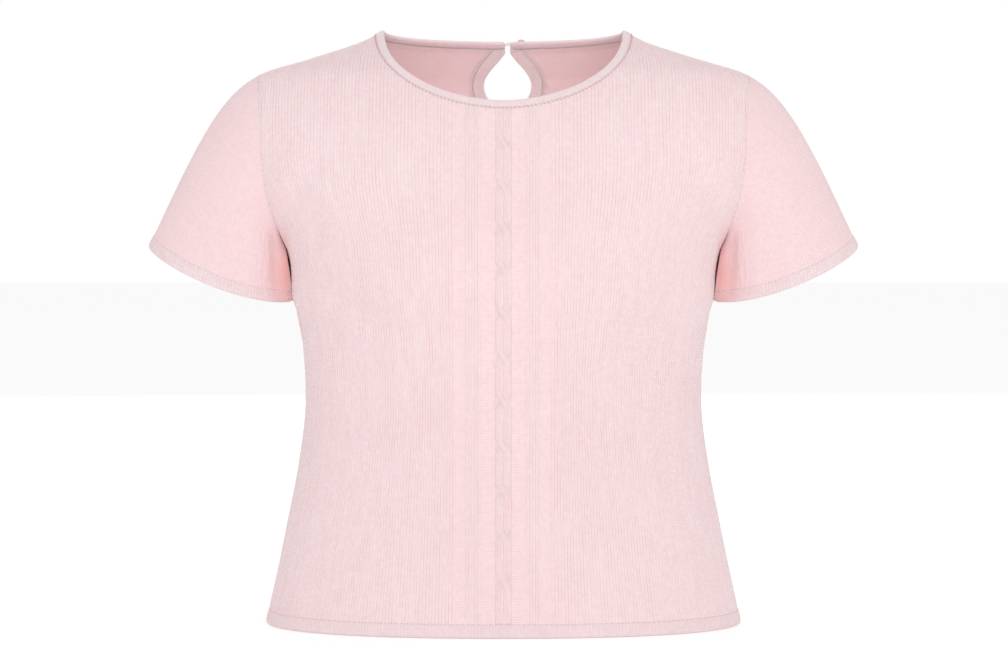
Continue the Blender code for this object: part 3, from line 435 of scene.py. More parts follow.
def cable(across, course):
    """How far the cable stands out, and its wales.

    Two strands lie side by side and change sides at each crossing, the left one on top.
    """
    near = np.argmin(np.abs(CROSSING_COURSES[None, :] - course[:, None]), axis=1)
    from_crossing = course - CROSSING_COURSES[near]
    t = np.clip(from_crossing / CROSSING_HALF, -1.0, 1.0)
    shift = STRAND_HALF * np.sin(t * math.pi / 2)
    close = 1 - t * t
    over_place = (across + shift) / STRAND_HALF
    under_place = (across - shift) / STRAND_HALF
    over = strand(over_place, STRAND_RISE + CROSSING_LIFT * close)
    under = strand(under_place, STRAND_RISE - CROSSING_SINK * close)
    between = 1 - np.minimum(np.abs(across) / CABLE_HALF, 1.0) ** 4
    base = STRAND_BASE * between * (1 - close)
    above = smooth_step(from_crossing, CROSSING_HALF * CABLE_END, CROSSING_HALF) * (near == CROSSINGS - 1)
    plain_wales = across / CABLE_HALF * 3
    plain = STRAND_BASE * between + CABLE_WALE_RISE * wale_relief(plain_wales)
    rise = np.maximum(np.maximum(over, under), base) * (1 - above) + plain * above
    wales = np.where(over >= under, over_place * 1.5 + 1.5, under_place * 1.5 - 1.5)
    return rise, np.where(above > 0.5, plain_wales, wales)


def front_columns(across):
    """Shares of the sunken purl columns, beside the cable and beyond the ribs, and of the ribs."""
    away = np.abs(across)
    rib = smooth_step(away, RIB_FROM, COLUMN_EDGE) - smooth_step(away, RIB_TO, COLUMN_EDGE)
    return 1 - smooth_step(away, PURL_TO, COLUMN_EDGE) - rib, rib


def front_relief(across, course, wale):
    purl, rib = front_columns(across)
    roped = np.abs(across) < CABLE_HALF
    strands = np.where(roped, cable(across, course)[0], 0.0)
    plain = uneven_relief(wale, course) * np.where(roped, 0.0, 1 - PURL_FLATTER * purl)
    return -PURL_SINK * purl + RIB_RISE * rib + strands + plain


def back_relief(across, course, wale):
    return uneven_relief(wale, course)


# Edges

def choose(front, in_front, behind):
    """One of two tables of rows, row by row."""
    mask = front.reshape((-1,) + (1,) * (in_front.ndim - 1))
    return np.where(mask, in_front, behind)


def on_body(front, across, height):
    """Points and outward directions, in front where `front` is true and else behind."""
    ahead = body_frame("front", across, height)
    behind = body_frame("back", across, height)
    return choose(front, ahead[0], behind[0]), choose(front, ahead[1], behind[1])


def in_front(angles, side):
    """Whether places at angles round an opening lie in front, or all of them as the side says."""
    return np.sin(angles) >= 0 if side is None else np.full(angles.shape, side == "front")


def across_on(front, find, height, place):
    """Lengths round from the centre line, found in front where `front` is true, else behind."""
    return np.where(front, find("front", height, place), find("back", height, place))


def neck_places(angles, side=None):
    """Front or not, length round and height of the neckline: 0 at the right shoulder."""
    front = in_front(angles, side)
    bulge = 2 / NECK_SQUARENESS
    x = np.sign(np.cos(angles)) * np.abs(np.cos(angles)) ** bulge * NECK_HALF_WIDTH
    drop = np.where(front, NECK_DROP["front"], NECK_DROP["back"])
    height = NECK_TOP - drop * np.abs(np.sin(angles)) ** bulge
    return front, across_on(front, across_at_x, height, x), height


def neck_positions(angles):
    return on_body(*neck_places(angles))[0]


def even_angles(start, end, step):
    """Angles from start to end whose places on the neckline lie about `step` apart."""
    dense = np.linspace(start, end, 4001)
    lengths = run_lengths(neck_positions(dense))
    count = max(2, round(lengths[-1] / step) + 1)
    return np.interp(np.linspace(0.0, lengths[-1], count), lengths, dense)


def closure_angle(x):
    share = x / NECK_HALF_WIDTH
    return math.acos(math.copysign(abs(share) ** (NECK_SQUARENESS / 2), share))


NECK_START = -closure_angle(CLOSURE_CENTRE + CLOSURE_GAP / 2)
NECK_END = 2 * math.pi - closure_angle(CLOSURE_CENTRE - CLOSURE_GAP / 2)


def armhole_places(angles, side=None):
    """Front or not, length round and height of the right armhole: 0 at its top."""
    front = in_front(angles, side)
    height = ARMHOLE_CENTRE + ARMHOLE_HALF_HEIGHT * np.cos(angles)
    depth = ARMHOLE_HALF_DEPTH * np.abs(np.sin(angles))
    return front, across_on(front, across_at_depth, height, depth), height


def unit(vectors):
    return vectors / np.linalg.norm(vectors, axis=-1, keepdims=True)


def runs_along(points):
    """Directions along a line of points."""
    return unit(np.gradient(points, axis=0))


def aside(points, normals):
    """Directions over the cloth at right angles to a line of points on it."""
    return unit(np.cross(runs_along(points), normals))


def points_at(distances, lengths, table):
    """Rows of a table of points or directions at distances along it."""
    return np.stack([np.interp(distances, lengths, column) for column in table.T], axis=-1)


def cuff_edges(angles):
    """The sleeve's lower edge: 0 at its outer tip, a quarter turn in front."""
    tip = np.array((CUFF_TIP[0], 0.0, CUFF_TIP[1]))
    inner = np.array((CUFF_INNER[0], 0.0, CUFF_INNER[1]))
    front = np.sin(angles)
    points = (tip + inner) / 2 + (tip - inner) / 2 * np.cos(angles)[:, None]
    points[:, 1] = -CUFF_HALF_DEPTH * front
    points[:, 2] -= CUFF_FRONT_TILT * front + CUFF_SAG * front ** 2
    return points


def body_side_x(y, z):
    """How far out the body's face lies at a depth and height beside it."""
    depth = np.where(y < 0, section("front_depth", z), section("back_depth", z))
    share = 1 - np.minimum(np.abs(y) / depth, 1.0) ** SQUARENESS
    return section("half_width", z) * share ** (1 / SQUARENESS)


def track_ends(table, outer, front):
    """Directions and pulls of a sleeve's tracks at one end."""
    shares = {"every": 1.0, "outer": outer, "front": front, "aside": np.abs(front),
              "under": np.maximum(0.0, -outer) ** 3}
    total = sum(shares[name] * np.array(row)[:, None] for name, row in table.items()).T
    pull = TRACK_COLUMNS.index("pull")
    return unit(total[:, :pull]), total[:, pull:]


def sleeve_tracks(angles):
    """Points of the sleeve's face from armhole to edge at each angle round it, with lengths."""
    outer = np.cos(angles)
    front = np.sin(angles)
    start = on_body(*armhole_places(angles))[0]
    end = cuff_edges(angles)
    leave, start_pull = track_ends(TRACK_LEAVES, outer, front)
    arrive, end_pull = track_ends(TRACK_ARRIVES, outer, front)
    a, b = start[:, None], (start + start_pull * leave)[:, None]
    c, d = (end - end_pull * arrive)[:, None], end[:, None]
    t = np.linspace(0.0, 1.0, TRACK_SAMPLES)[None, :, None]
    points = a * (1 - t) ** 3 + 3 * b * t * (1 - t) ** 2 + 3 * c * t ** 2 * (1 - t) + d * t ** 3
    low = np.maximum(0.0, -outer)[:, None] ** 4 * 4 * t[:, :, 0] * (1 - t[:, :, 0])
    x, y, z = np.moveaxis(points, 2, 0)
    beside = body_side_x(y, z) + TUCK_CLEAR
    tucked = np.maximum(x - TUCK * low, np.minimum(beside, x))
    points[:, :, 0] = np.where(z < start[:, None, 2] - TUCK_BELOW, tucked, x)
    return points, run_lengths(points)


# Meshes

def underarm_painted_shade(points):
    """1 in the folds under the arms, where shade is painted into the cloth as a deeper red, and 0 away
    from them.
    """
    x = np.abs(points[:, 0])
    z = points[:, 2]
    started = np.clip((UNDERARM_SHADE_TOP - z) / UNDERARM_SHADE_FADE, 0.0, 1.0)
    ended = np.clip((z - UNDERARM_SHADE_BOTTOM) / UNDERARM_SHADE_FADE, 0.0, 1.0)
    outside = np.exp(-(np.maximum(x - UNDERARM_SHADE_X, 0.0) / UNDERARM_SHADE_REACH) ** 2)
    return outside * smooth_step(x, UNDERARM_SHADE_X - UNDERARM_SHADE_EDGE, UNDERARM_SHADE_EDGE) * started * ended


def add_object(name, data):
    thing = bpy.data.objects.new(name, data)
    bpy.context.scene.collection.objects.link(thing)
    return thing


def add_piece(name, points, faces, uvs, materials, face_slots=None, purl=None, smooth=None,
              wrap=None, wrapped_faces=None):
    """A mesh piece on the body, with its knit places as texture places.

    Where a face's corners lie more than half of `wrap` wales apart, they are brought together.
    """
    mesh = bpy.data.meshes.new(name)
    mesh.from_pydata([tuple(p) for p in points], [], faces)
    for material in materials:
        mesh.materials.append(material)
    if face_slots is not None:
        mesh.polygons.foreach_set("material_index", np.asarray(face_slots, dtype=np.int32))
    shell = bmesh.new()
    shell.from_mesh(mesh)
    bmesh.ops.recalc_face_normals(shell, faces=shell.faces)
    shell.to_mesh(mesh)
    shell.free()
    corners = np.zeros(len(mesh.loops), dtype=np.int32)
    mesh.loops.foreach_get("vertex_index", corners)
    layer = mesh.uv_layers.new(name="knit")
    places = np.asarray(uvs, dtype=np.float32)[corners]
    if wrap is not None:
        starts = np.zeros(len(mesh.polygons), dtype=np.int32)
        mesh.polygons.foreach_get("loop_start", starts)
        totals = np.diff(np.append(starts, len(places)))
        turns = np.round((np.repeat(places[starts, 0], totals) - places[:, 0]) / wrap)
        turns[sum(totals[:wrapped_faces]):] = 0
        places[:, 0] += turns * wrap
    layer.data.foreach_set("uv", places.ravel())
    # the second mark is where shade is painted under the arms
    marks = {"purl": purl, "underarm_painted_shade": underarm_painted_shade(np.asarray(points, dtype=float))}
    for title, values in marks.items():
        if values is not None:
            mark = mesh.attributes.new(title, "FLOAT", "POINT")
            mark.data.foreach_set("value", np.asarray(values, dtype=np.float32))
    mesh.shade_smooth()
    if smooth is not None:
        mesh.set_sharp_from_angle(angle=math.radians(smooth))
    piece = add_object(name, mesh)
    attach(piece, "root")
    return piece


def points_inside(points, outline, clearance):
    """Which points lie inside a closed outline and keep their distance from it."""
    starts = np.array(outline)
    ends = np.roll(starts, -1, axis=0)
    run = ends - starts
    inside = np.zeros(len(points), dtype=bool)
    for y in np.unique(points[:, 1]):
        spans = (starts[:, 1] > y) != (ends[:, 1] > y)
        crossings = starts[spans, 0] + (y - starts[spans, 1]) * run[spans, 0] / run[spans, 1]
        row = points[:, 1] == y
        inside[row] = np.searchsorted(np.sort(crossings), points[row, 0]) % 2 == 1
    pieces = np.maximum(2, np.ceil(np.linalg.norm(run, axis=1) / FENCE_STEP)).astype(int)
    fence = np.concatenate([a + r * np.linspace(0, 1, n, endpoint=False)[:, None]
                            for a, r, n in zip(starts, run, pieces)])
    tree = KDTree(len(fence))
    for number, (x, y) in enumerate(fence):
        tree.insert((x, y, 0.0), number)
    tree.balance()
    for k in np.flatnonzero(inside):
        inside[k] = tree.find((points[k, 0], points[k, 1], 0.0))[2] > clearance
    return inside


def triangulate(outline, inner):
    """Triangles over a closed outline, through the points inside it."""
    count = len(outline)
    points = [Vector((float(x), float(y))) for x, y in list(outline) + list(inner)]
    edges = [(k, (k + 1) % count) for k in range(count)]
    found = delaunay_2d_cdt(points, edges, [], 1, 1e-7)
    source = [origin[0] for origin in found[3]]
    return [tuple(source[k] for k in face) for face in found[2]]


def lattice(wales, rows):
    """Every pairing of a wale's place with a row's, in mesh steps."""
    return np.stack(np.meshgrid(wales, rows), axis=-1).reshape(-1, 2)


def panel_points(side, flat, sink, relief=None):
    """Points, knit places and lengths round for places on a panel given in mesh steps."""
    wale = flat[:, 0] / WALE_SAMPLES
    course = flat[:, 1] * ROW_STEP
    height = height_at(course)
    across = across_at_wale(side, wale, height)
    point, normal = body_frame(side, across, height)
    rise = fold_rise(BODY_FOLDS[side], point[:, 0], height) * seam_fade(point)
    if relief is not None:
        rise = rise + relief(across, course, wale)
        if side == "front":
            wale = np.where(np.abs(across) < CABLE_HALF, cable(across, course)[1], wale)
    return point + (rise - sink)[:, None] * normal, np.stack((wale, course / COURSE), axis=1), across


def panel_lattices(side, edge):
    """The outer and the inner places of a panel inside its edge, in mesh steps."""
    bottom = course_at(HEM_BOTTOM)
    top = course_at(NECK_TOP)
    wales = np.arange(-HALF_WALES * WALE_SAMPLES, HALF_WALES * WALE_SAMPLES + 1)
    if side == "front":
        wales = wales[np.abs(wales) > WALE_EDGES[1][1] * WALE_SAMPLES + 0.5]
    outer = lattice(wales, np.arange(bottom / ROW_STEP, top / ROW_STEP))
    if side == "front":
        columns = np.arange(-3 * CABLE_SAMPLES, 3 * CABLE_SAMPLES + 1) / CABLE_SAMPLES * WALE_SAMPLES
        cable_rows = np.arange(bottom, top, CABLE_ROW) / ROW_STEP
        outer = np.concatenate((outer, lattice(columns, cable_rows)))
    inner_wales = np.arange(-HALF_WALES, HALF_WALES + 1, INNER_STEP / WALE_WIDTH) * WALE_SAMPLES
    inner = lattice(inner_wales, np.arange(bottom, top, INNER_STEP) / ROW_STEP)
    outer = outer[points_inside(outer, edge, EDGE_CLEAR)]
    return outer, inner[points_inside(inner, edge, INNER_CLEAR)]


def panel_shell(name, side, outline, relief, materials):
    """A panel of the body: wales outside and a plain sheet of purl stitches inside."""
    across, height = np.array(outline).T
    wale = wales_at(side, across, height)
    edge = np.stack((wale * WALE_SAMPLES, course_at(height) / ROW_STEP), axis=1)
    outer_places, inner_places = panel_lattices(side, edge)
    outer = triangulate(edge, outer_places)
    inner = triangulate(edge, inner_places)
    parts = (panel_points(side, edge, -EDGE_RISE), panel_points(side, outer_places, 0.0, relief),
             panel_points(side, edge, CLOTH), panel_points(side, inner_places, CLOTH))
    points, uvs, round_body = (np.concatenate(column) for column in zip(*parts))
    purl = np.zeros(len(points))
    if side == "front":
        purl = front_columns(round_body)[0] * (np.abs(round_body) > CABLE_HALF)
    count = len(edge)
    start = count + len(outer_places)
    purl[start:] = 1.0
    faces = outer + [tuple(start + k for k in reversed(face)) for face in inner]
    rim = [(k, start + k, start + (k + 1) % count, (k + 1) % count) for k in range(count)]
    slots = [0] * len(outer) + [1] * (len(inner) + len(rim))
    wrap = 3 if side == "front" else None
    return add_piece(name, points, faces + rim, uvs, materials, slots, purl, SHELL_SHARP, wrap,
                     len(outer))


def side_and_armhole(side):
    """The right edge of a panel from the hem welt up to the neck: across and height."""
    bottom = HEM_BOTTOM + HEM_WELT
    underarm = ARMHOLE_CENTRE - ARMHOLE_HALF_HEIGHT
    count = round((underarm - bottom) / ROW_STEP * SIDE_SAMPLES)
    heights = np.linspace(bottom, underarm, count, endpoint=False)
    edge = list(zip(across_side(side, heights) - SEAM_GAP / 2, heights))
    turns = np.linspace(math.pi, 0.0, ARMHOLE_SAMPLES)
    _, across, height = armhole_places(turns if side == "front" else -turns, side)
    edge += list(zip(across - SEAM_GAP / 2, height))
    ridge = np.linspace(SHOULDER_END, NECK_TOP, RIDGE_SAMPLES)[1:-1]
    edge += list(zip(across_side(side, ridge) - SEAM_GAP / 2, ridge))
    return edge


def panel_outline(side, neck):
    right = side_and_armhole(side)
    left = [(-across, height) for across, height in reversed(right)]
    height = HEM_BOTTOM + HEM_WELT
    reach = right[0][0]
    wales = np.arange(1 - HALF_WALES * WALE_SAMPLES, HALF_WALES * WALE_SAMPLES) / WALE_SAMPLES
    hem = across_at_wale(side, wales, np.full(len(wales), height))
    hem = [(across, height) for across in hem if abs(across) < reach - CORNER_CLEAR]
    return right + neck + left + hem


def neck_edge(side, angles):
    """Places of a panel's upper edge, half a seam's gap below the neckline."""
    _, across, height = neck_places(angles, side)
    return list(zip(across, height - SEAM_GAP / 2))


def rising(places):
    """The places of an edge that lie above all those before them, and under the neckline."""
    kept = places[:1]
    for across, height in places[1:]:
        height = min(height, KEYHOLE_TOP - SEAM_GAP / 2)
        if height > kept[-1][1] + 0.0001:
            kept.append((across, height))
    return kept[:-1] + [(places[-1][0], KEYHOLE_TOP - SEAM_GAP / 2)]


def keyhole_edge(turn, width):
    """The keyhole's edge, moved out by a width: 0 at the top right, 1 at the top left."""
    top = KEYHOLE_TOP - KEYHOLE_WIDEST
    if turn > 0.5:
        x, height = keyhole_edge(1.0 - turn, width)
        return 2 * CLOSURE_CENTRE - x, height

    def edge(share):
        if share < KEYHOLE_STRAIGHT:
            rise = 1 - share / KEYHOLE_STRAIGHT
            taper = (math.cos(math.pi * rise / 2) + (1 + math.cos(math.pi * rise)) / 2) / 2
            return np.array((max(KEYHOLE_RADIUS * taper, CLOSURE_GAP / 2), top * rise))
        swing = (share - KEYHOLE_STRAIGHT) / (0.5 - KEYHOLE_STRAIGHT) * math.pi / 2
        return np.array((KEYHOLE_RADIUS * math.cos(swing), -KEYHOLE_RADIUS * math.sin(swing)))

    step = 0.004
    run = unit(edge(min(turn + step, 0.5)) - edge(max(turn - step, 0.0)))
    out = np.array((-run[1], run[0]))
    if turn < step:
        out = np.array((1.0, 0.0))
    if turn > 0.5 - step:
        out = np.array((0.0, -1.0))
    x, rise = edge(turn) + width * out
    return CLOSURE_CENTRE + x, min(KEYHOLE_WIDEST + rise, KEYHOLE_TOP)


def keyhole_places(turns, widths):
    """Lengths round and heights of the keyhole's edge, moved out by widths."""
    x, height = np.array([keyhole_edge(turn, width) for turn, width in zip(turns, widths)]).T
    return across_at_x("back", height, x), height


def band_faces(ring_count, ring_size, closed):
    """Quads of a band made of rings of points, a torus where closed, else with flat ends."""
    quads = []
    for ring in range(ring_count if closed else ring_count - 1):
        after = (ring + 1) % ring_count
        for k in range(ring_size):
            n = (k + 1) % ring_size
            quads.append((ring * ring_size + k, ring * ring_size + n,
                          after * ring_size + n, after * ring_size + k))
    if not closed:
        last = (ring_count - 1) * ring_size
        quads.append(tuple(range(ring_size)))
        quads.append(tuple(last + k for k in reversed(range(ring_size))))
    return quads


# A turned edge in section: share of its width, share of its thickness, share of the relief
WELT_PROFILE = np.array((
    (0.00, 0.25, 0.0), (0.00, 0.84, 0.0), (0.05, 0.93, 0.4), (0.16, 1.00, 1.0), (0.38, 1.04, 1.0),
    (0.62, 1.05, 1.0), (0.82, 1.00, 1.0), (0.94, 0.86, 0.6), (1.00, 0.62, 0.2), (1.00, 0.36, 0.0),
    (0.94, 0.12, 0.0), (0.82, 0.00, 0.0), (0.50, -0.02, 0.0), (0.16, 0.00, 0.0),
))
# The keyhole's binding in section, with three ridges outside
BINDING_PROFILE = np.array((
    (0.00, 0.25, 0.0), (0.00, 0.60, 0.0), (0.05, 0.88, 0.0), (0.14, 1.00, 0.3), (0.24, 0.90, 0.3),
    (0.33, 0.62, 0.0), (0.42, 0.88, 0.3), (0.52, 1.00, 0.3), (0.62, 0.88, 0.3), (0.71, 0.62, 0.0),
    (0.79, 0.86, 0.3), (0.88, 1.00, 0.3), (0.96, 0.84, 0.0), (1.00, 0.50, 0.0), (1.00, 0.10, 0.0),
    (0.85, 0.00, 0.0), (0.70, 0.26, 0.0), (0.55, 0.00, 0.0), (0.40, 0.26, 0.0), (0.20, 0.00, 0.0),
    (0.08, 0.06, 0.0),
))


def swept_band(name, rings, normals, width, profile, wales, materials, closed):
    """A band from rings of points on the face and their outward directions."""
    relief = BAND_WALE_RISE * wale_relief(wales)[:, None] * profile[None, :, 2]
    out = WELT_PROUD - WELT_THICKNESS * (1 - profile[None, :, 1]) + relief
    points = (rings + out[:, :, None] * normals).reshape(-1, 3)
    lengths = run_lengths(profile[:, :2] * np.array((width, WELT_THICKNESS)))
    uvs = [(wale, length / COURSE) for wale in wales for length in lengths]
    faces = band_faces(len(rings), len(profile), closed)
    wrap = round(wales[-1]) if closed else None
    purl = np.zeros(len(points))
    return add_piece(name, points, faces, uvs, materials, None, purl, BAND_SHARP, wrap)


def hem_band(name, side, materials):
    """The turned lower edge of a panel, from side seam to side seam."""
    middle = HEM_BOTTOM + HEM_WELT / 2
    count = int(HALF_WALES * WALE_SAMPLES)
    wales = np.arange(-count, count + 1) / WALE_SAMPLES
    rings = []
    normals = []
    for width in WELT_PROFILE[:, 0]:
        height = np.full(len(wales), HEM_BOTTOM + (HEM_WELT - SEAM_GAP / 2) * (1 - width))
        across = across_at_wale(side, wales, height)
        limit = across_side(side, height) - SEAM_GAP / 2
        across = np.clip(across, -limit, limit)
        rings.append(body_frame(side, across, height)[0])
        normals.append(body_frame(side, across, np.full(len(wales), middle))[1])
    return swept_band(name, np.stack(rings, axis=1), np.stack(normals, axis=1), HEM_WELT,
                      WELT_PROFILE, wales, materials, False)


SLEEVE_COLUMNS = SLEEVE_WALES * WALE_SAMPLES
SLEEVE_TURNS = np.arange(SLEEVE_COLUMNS) / SLEEVE_COLUMNS * 2 * math.pi + 1e-6
SLEEVE_TRACKS, SLEEVE_LENGTHS = sleeve_tracks(SLEEVE_TURNS)


def along_tracks(distances):
    """Points at a table of distances down the sleeve from the armhole, one row a track."""
    return np.stack([points_at(*track) for track in zip(distances, SLEEVE_LENGTHS, SLEEVE_TRACKS)])


def ring_normals(table):
    """Outward directions of a closed table of points, columns round the sleeve."""
    round_sleeve = np.roll(table, -2, axis=0) - np.roll(table, 2, axis=0)
    down = np.gradient(table, axis=1)
    return unit(np.cross(round_sleeve, down))


def sleeve_folds(table, reach):
    """How far the folds move a sleeve's points out, for a table of points round and along it."""
    rise = np.zeros(table.shape[:2])
    for k, angle in enumerate(SLEEVE_TURNS):
        folds = SLEEVE_FOLDS["front" if math.sin(angle) >= 0 else "back"]
        rise[k] = fold_rise(folds, table[k, :, 0], table[k, :, 2]) * abs(math.sin(angle)) ** 0.5
    return rise * reach


def round_quads(base, columns, rows):
    """Quads of a table of points that closes round its columns, numbered from a base."""
    quads = []
    for k in range(columns):
        here = base + k * rows
        after = base + (k + 1) % columns * rows
        quads += [(here + j, here + j + 1, after + j + 1, after + j) for j in range(rows - 1)]
    return quads


def rim_faces(columns, rows, inner_columns, inner_rows):
    """Faces that join both ends of a table of points to the sparser one numbered after it."""
    step = columns // inner_columns
    faces = []
    for outer_j, inner_j in ((0, 0), (rows - 1, inner_rows - 1)):
        for k in range(inner_columns):
            here = columns * rows + k * inner_rows + inner_j
            after = columns * rows + (k + 1) % inner_columns * inner_rows + inner_j
            fan = [(k * step + i) % columns * rows + outer_j for i in range(step + 1)]
            faces.append((*fan, after, here))
    return faces


def sleeve_shell(name, materials, mirror):
    """A sleeve from the armhole seam to its cuff."""
    count = SLEEVE_COLUMNS
    total = SLEEVE_LENGTHS[:, -1]
    rows = round(total.max() / SLEEVE_ROW / 2) * 2
    shares = np.linspace(0.0, 1.0, rows + 1)
    distances = SEAM_GAP + (total - CUFF_WELT - SEAM_GAP * 1.5)[:, None] * shares[None, :]
    table = along_tracks(distances)
    normals = ring_normals(table)
    reach = smooth_step(shares * total.mean(), SLEEVE_FADE / 2, SLEEVE_FADE)
    rise = sleeve_folds(table, reach[None, :])
    wales = np.arange(count) / WALE_SAMPLES
    ends = np.minimum(np.minimum(shares, 1 - shares) * rows, 1.0)[None, :]
    relief = SLEEVE_WALE_RISE * wale_relief(wales)[:, None] * ends + EDGE_RISE * (1 - ends)
    outer = table + (rise + relief)[:, :, None] * normals
    step = WALE_SAMPLES * 2
    inner = (table + (rise - CLOTH)[:, :, None] * normals)[::step, ::2]
    points = np.concatenate((outer.reshape(-1, 3), inner.reshape(-1, 3)))
    course = (total[:, None] - distances) / COURSE
    uv = np.stack(np.broadcast_arrays(wales[:, None], course), axis=-1)
    uvs = np.concatenate((uv.reshape(-1, 2), uv[::step, ::2].reshape(-1, 2)))
    sizes = (*outer.shape[:2], *inner.shape[:2])
    start = sizes[0] * sizes[1]
    face = round_quads(0, *sizes[:2])
    inside = round_quads(start, *sizes[2:]) + rim_faces(*sizes)
    slots = [0] * len(face) + [1] * len(inside)
    purl = np.repeat((0.0, 1.0), (start, len(points) - start))
    return add_piece(name, points * mirror, face + inside, uvs, materials, slots, purl, SHELL_SHARP,
                     SLEEVE_WALES)


def cuff_band(name, materials, mirror):
    """The turned edge of a sleeve."""
    total = SLEEVE_LENGTHS[:, -1:]
    from_end = (CUFF_WELT - SEAM_GAP / 2) * (1 - WELT_PROFILE[:, 0])
    points = along_tracks(total - from_end[None, :])
    middle = along_tracks(total - CUFF_WELT / 2 + np.array(((-0.001, 0.001),)))
    round_sleeve = np.roll(middle, -2, axis=0) - np.roll(middle, 2, axis=0)
    normals = unit(np.cross(round_sleeve[:, 0], middle[:, 1] - middle[:, 0]))[:, None]
    rings = points + sleeve_folds(points, 1.0)[:, :, None] * normals
    wales = np.arange(SLEEVE_COLUMNS) / WALE_SAMPLES
    return swept_band(name, rings * mirror, normals * mirror, CUFF_WELT, WELT_PROFILE, wales,
                      materials, True)


def neck_frames(angles):
    """Points, outward directions and directions away from the panels along the neckline."""
    turn = 0.01
    angles = np.asarray(angles, dtype=float)
    points, normals = on_body(*neck_places(angles))
    runs = unit(neck_positions(angles + turn) - neck_positions(angles - turn))
    return points, normals, unit(np.cross(runs, normals))


def neckband(materials):
    """A turned band from one end of the closure round the front to the other end."""
    step = WALE_WIDTH / WALE_SAMPLES
    angles = even_angles(NECK_START, NECK_END, step)
    points, normals, away = neck_frames(angles)
    places = np.arange(len(angles))
    to_tip = np.minimum(np.minimum(places, places[::-1]) * step / END_ROUND, 1.0)
    full = (END_FULL + (1 - END_FULL) * np.sqrt(1 - (1 - to_tip) ** 2))[:, None]
    width, thick, _ = WELT_PROFILE.T
    rise = SEAM_GAP / 2 + (NECKBAND_WIDTH - SEAM_GAP / 2) * (width * full + (1 - full) / 3)
    pinch = (0.5 - thick) * (1 - full) * WELT_THICKNESS
    rings = points[:, None] + rise[:, :, None] * away[:, None] + pinch[:, :, None] * normals[:, None]
    return swept_band("neckband_cloth", rings, normals[:, None], NECKBAND_WIDTH, WELT_PROFILE,
                      places / WALE_SAMPLES, materials, False)


def keyhole_binding(materials):
    """The ribbed binding round the keyhole, from one end of the neckband to the other."""
    turns = np.linspace(BINDING_START, 1 - BINDING_START, BINDING_RINGS)
    turns = np.concatenate(([0.0], turns, [1.0]))
    top = float(height_at(course_at(KEYHOLE_TOP) - 1.5 * SEAM_GAP))
    size = len(BINDING_PROFILE)
    widths = np.tile(BINDING_PROFILE[:, 0] * (BINDING_WIDTH - SEAM_GAP), len(turns))
    across, height = keyhole_places(np.repeat(turns, size), widths)
    points, normals = (table.reshape(-1, size, 3)
                       for table in body_frame("back", across, np.minimum(height, top)))
    return swept_band("keyhole_binding_cloth", points, normals, BINDING_WIDTH, BINDING_PROFILE,
                      turns * BINDING_WALES, materials, False)


# Stitches: short lengths of thread laid in the seams

# Each kind's pitch, width across the seam, thread radius and rise off the cloth
STITCHES = {
    "neck": (0.0038, 0.0022, 0.00040, 0.0005),
    "inner": (0.0027, 0.0004, 0.00042, 0.0001),
    "armhole": (0.0046, 0.0012, 0.00030, 0.0),
    "hem": (0.0050, 0.0016, 0.00030, 0.0),
    "cuff": (0.0048, 0.0016, 0.00028, 0.0),
}
STITCH_SHARES = (-1.0, -0.6, 0.0, 0.6, 1.0)      # points from one end of a stitch to the other
STITCH_ARCH = 0.8        # thread radii by which its middle stands up and its ends dip
STITCH_SLANT = 0.30      # share of the pitch between its middle and an end, along the seam
THREAD_SIDES = 6
THREAD_TIP = 0.4         # share of a thread's radius at its ends
SEAM_STEP = 0.0040       # between the points that follow the neckline
NECK_STITCH_ENDS = 0.03  # turn from the closure to the first stitch
NECK_STITCH_DROP = 0.0002
INNER_NECK_CLEAR = 0.0030
INNER_NECK_DROPS = (0.0002, 0.0030, 0.0056)
INNER_KEYHOLE_WIDTHS = (BINDING_WIDTH, BINDING_WIDTH + 0.0026)
ARMHOLE_STITCH_IN = 0.0028
HEM_STITCH_IN = 0.0030


def tube(path, radius, sides):
    """Points and faces of a thread along a path, with rounded ends."""
    path = np.array(path)
    run = runs_along(path)
    steep = np.abs(run[:, 2:3]) > 0.9
    helper = np.where(steep, (1.0, 0.0, 0.0), (0.0, 0.0, 1.0))
    side = unit(np.cross(run, helper))
    out = np.cross(side, run)
    radii = np.full(len(path), radius)
    radii[[0, -1]] *= THREAD_TIP
    turns = np.arange(sides) / sides * 2 * math.pi
    rings = (path[:, None, :] + radii[:, None, None]
             * (np.cos(turns)[None, :, None] * side[:, None, :]
                + np.sin(turns)[None, :, None] * out[:, None, :]))
    return rings.reshape(-1, 3), band_faces(len(path), sides, False)


def thread_piece(name, parts, material):
    """One piece from the points and faces of several threads."""
    points = []
    faces = []
    start = 0
    for part, part_faces in parts:
        points.append(part)
        faces += [tuple(start + k for k in face) for face in part_faces]
        start += len(part)
    points = np.concatenate(points)
    return add_piece(name, points, faces, points[:, [0, 2]] / COURSE, [material])


def stitch_row(name, kind, points, normals, across, material):
    """Slanting stitches along a seam."""
    pitch, width, radius, rise = STITCHES[kind]
    lengths = run_lengths(points)
    tables = (points, normals, runs_along(points), across)
    parts = []
    for n in range(int(lengths[-1] / pitch)):
        centre, normal, run, side = (points_at((n + 0.5) * pitch, lengths, table) for table in tables)
        path = []
        for share in STITCH_SHARES:
            arch = rise + STITCH_ARCH * radius * (1 - 2 * share ** 2)
            reach = STITCH_SLANT * pitch * run + width / 2 * side
            path.append(centre + share * reach + arch * normal)
        parts.append(tube(path, radius, THREAD_SIDES))
    return thread_piece(name, parts, material)


def neck_stitches(material):
    angles = even_angles(NECK_START + NECK_STITCH_ENDS, NECK_END - NECK_STITCH_ENDS, SEAM_STEP)
    points, normals, away = neck_frames(angles)
    points = points - NECK_STITCH_DROP * away
    return stitch_row("neck_stitches", "neck", points, normals, away, material)


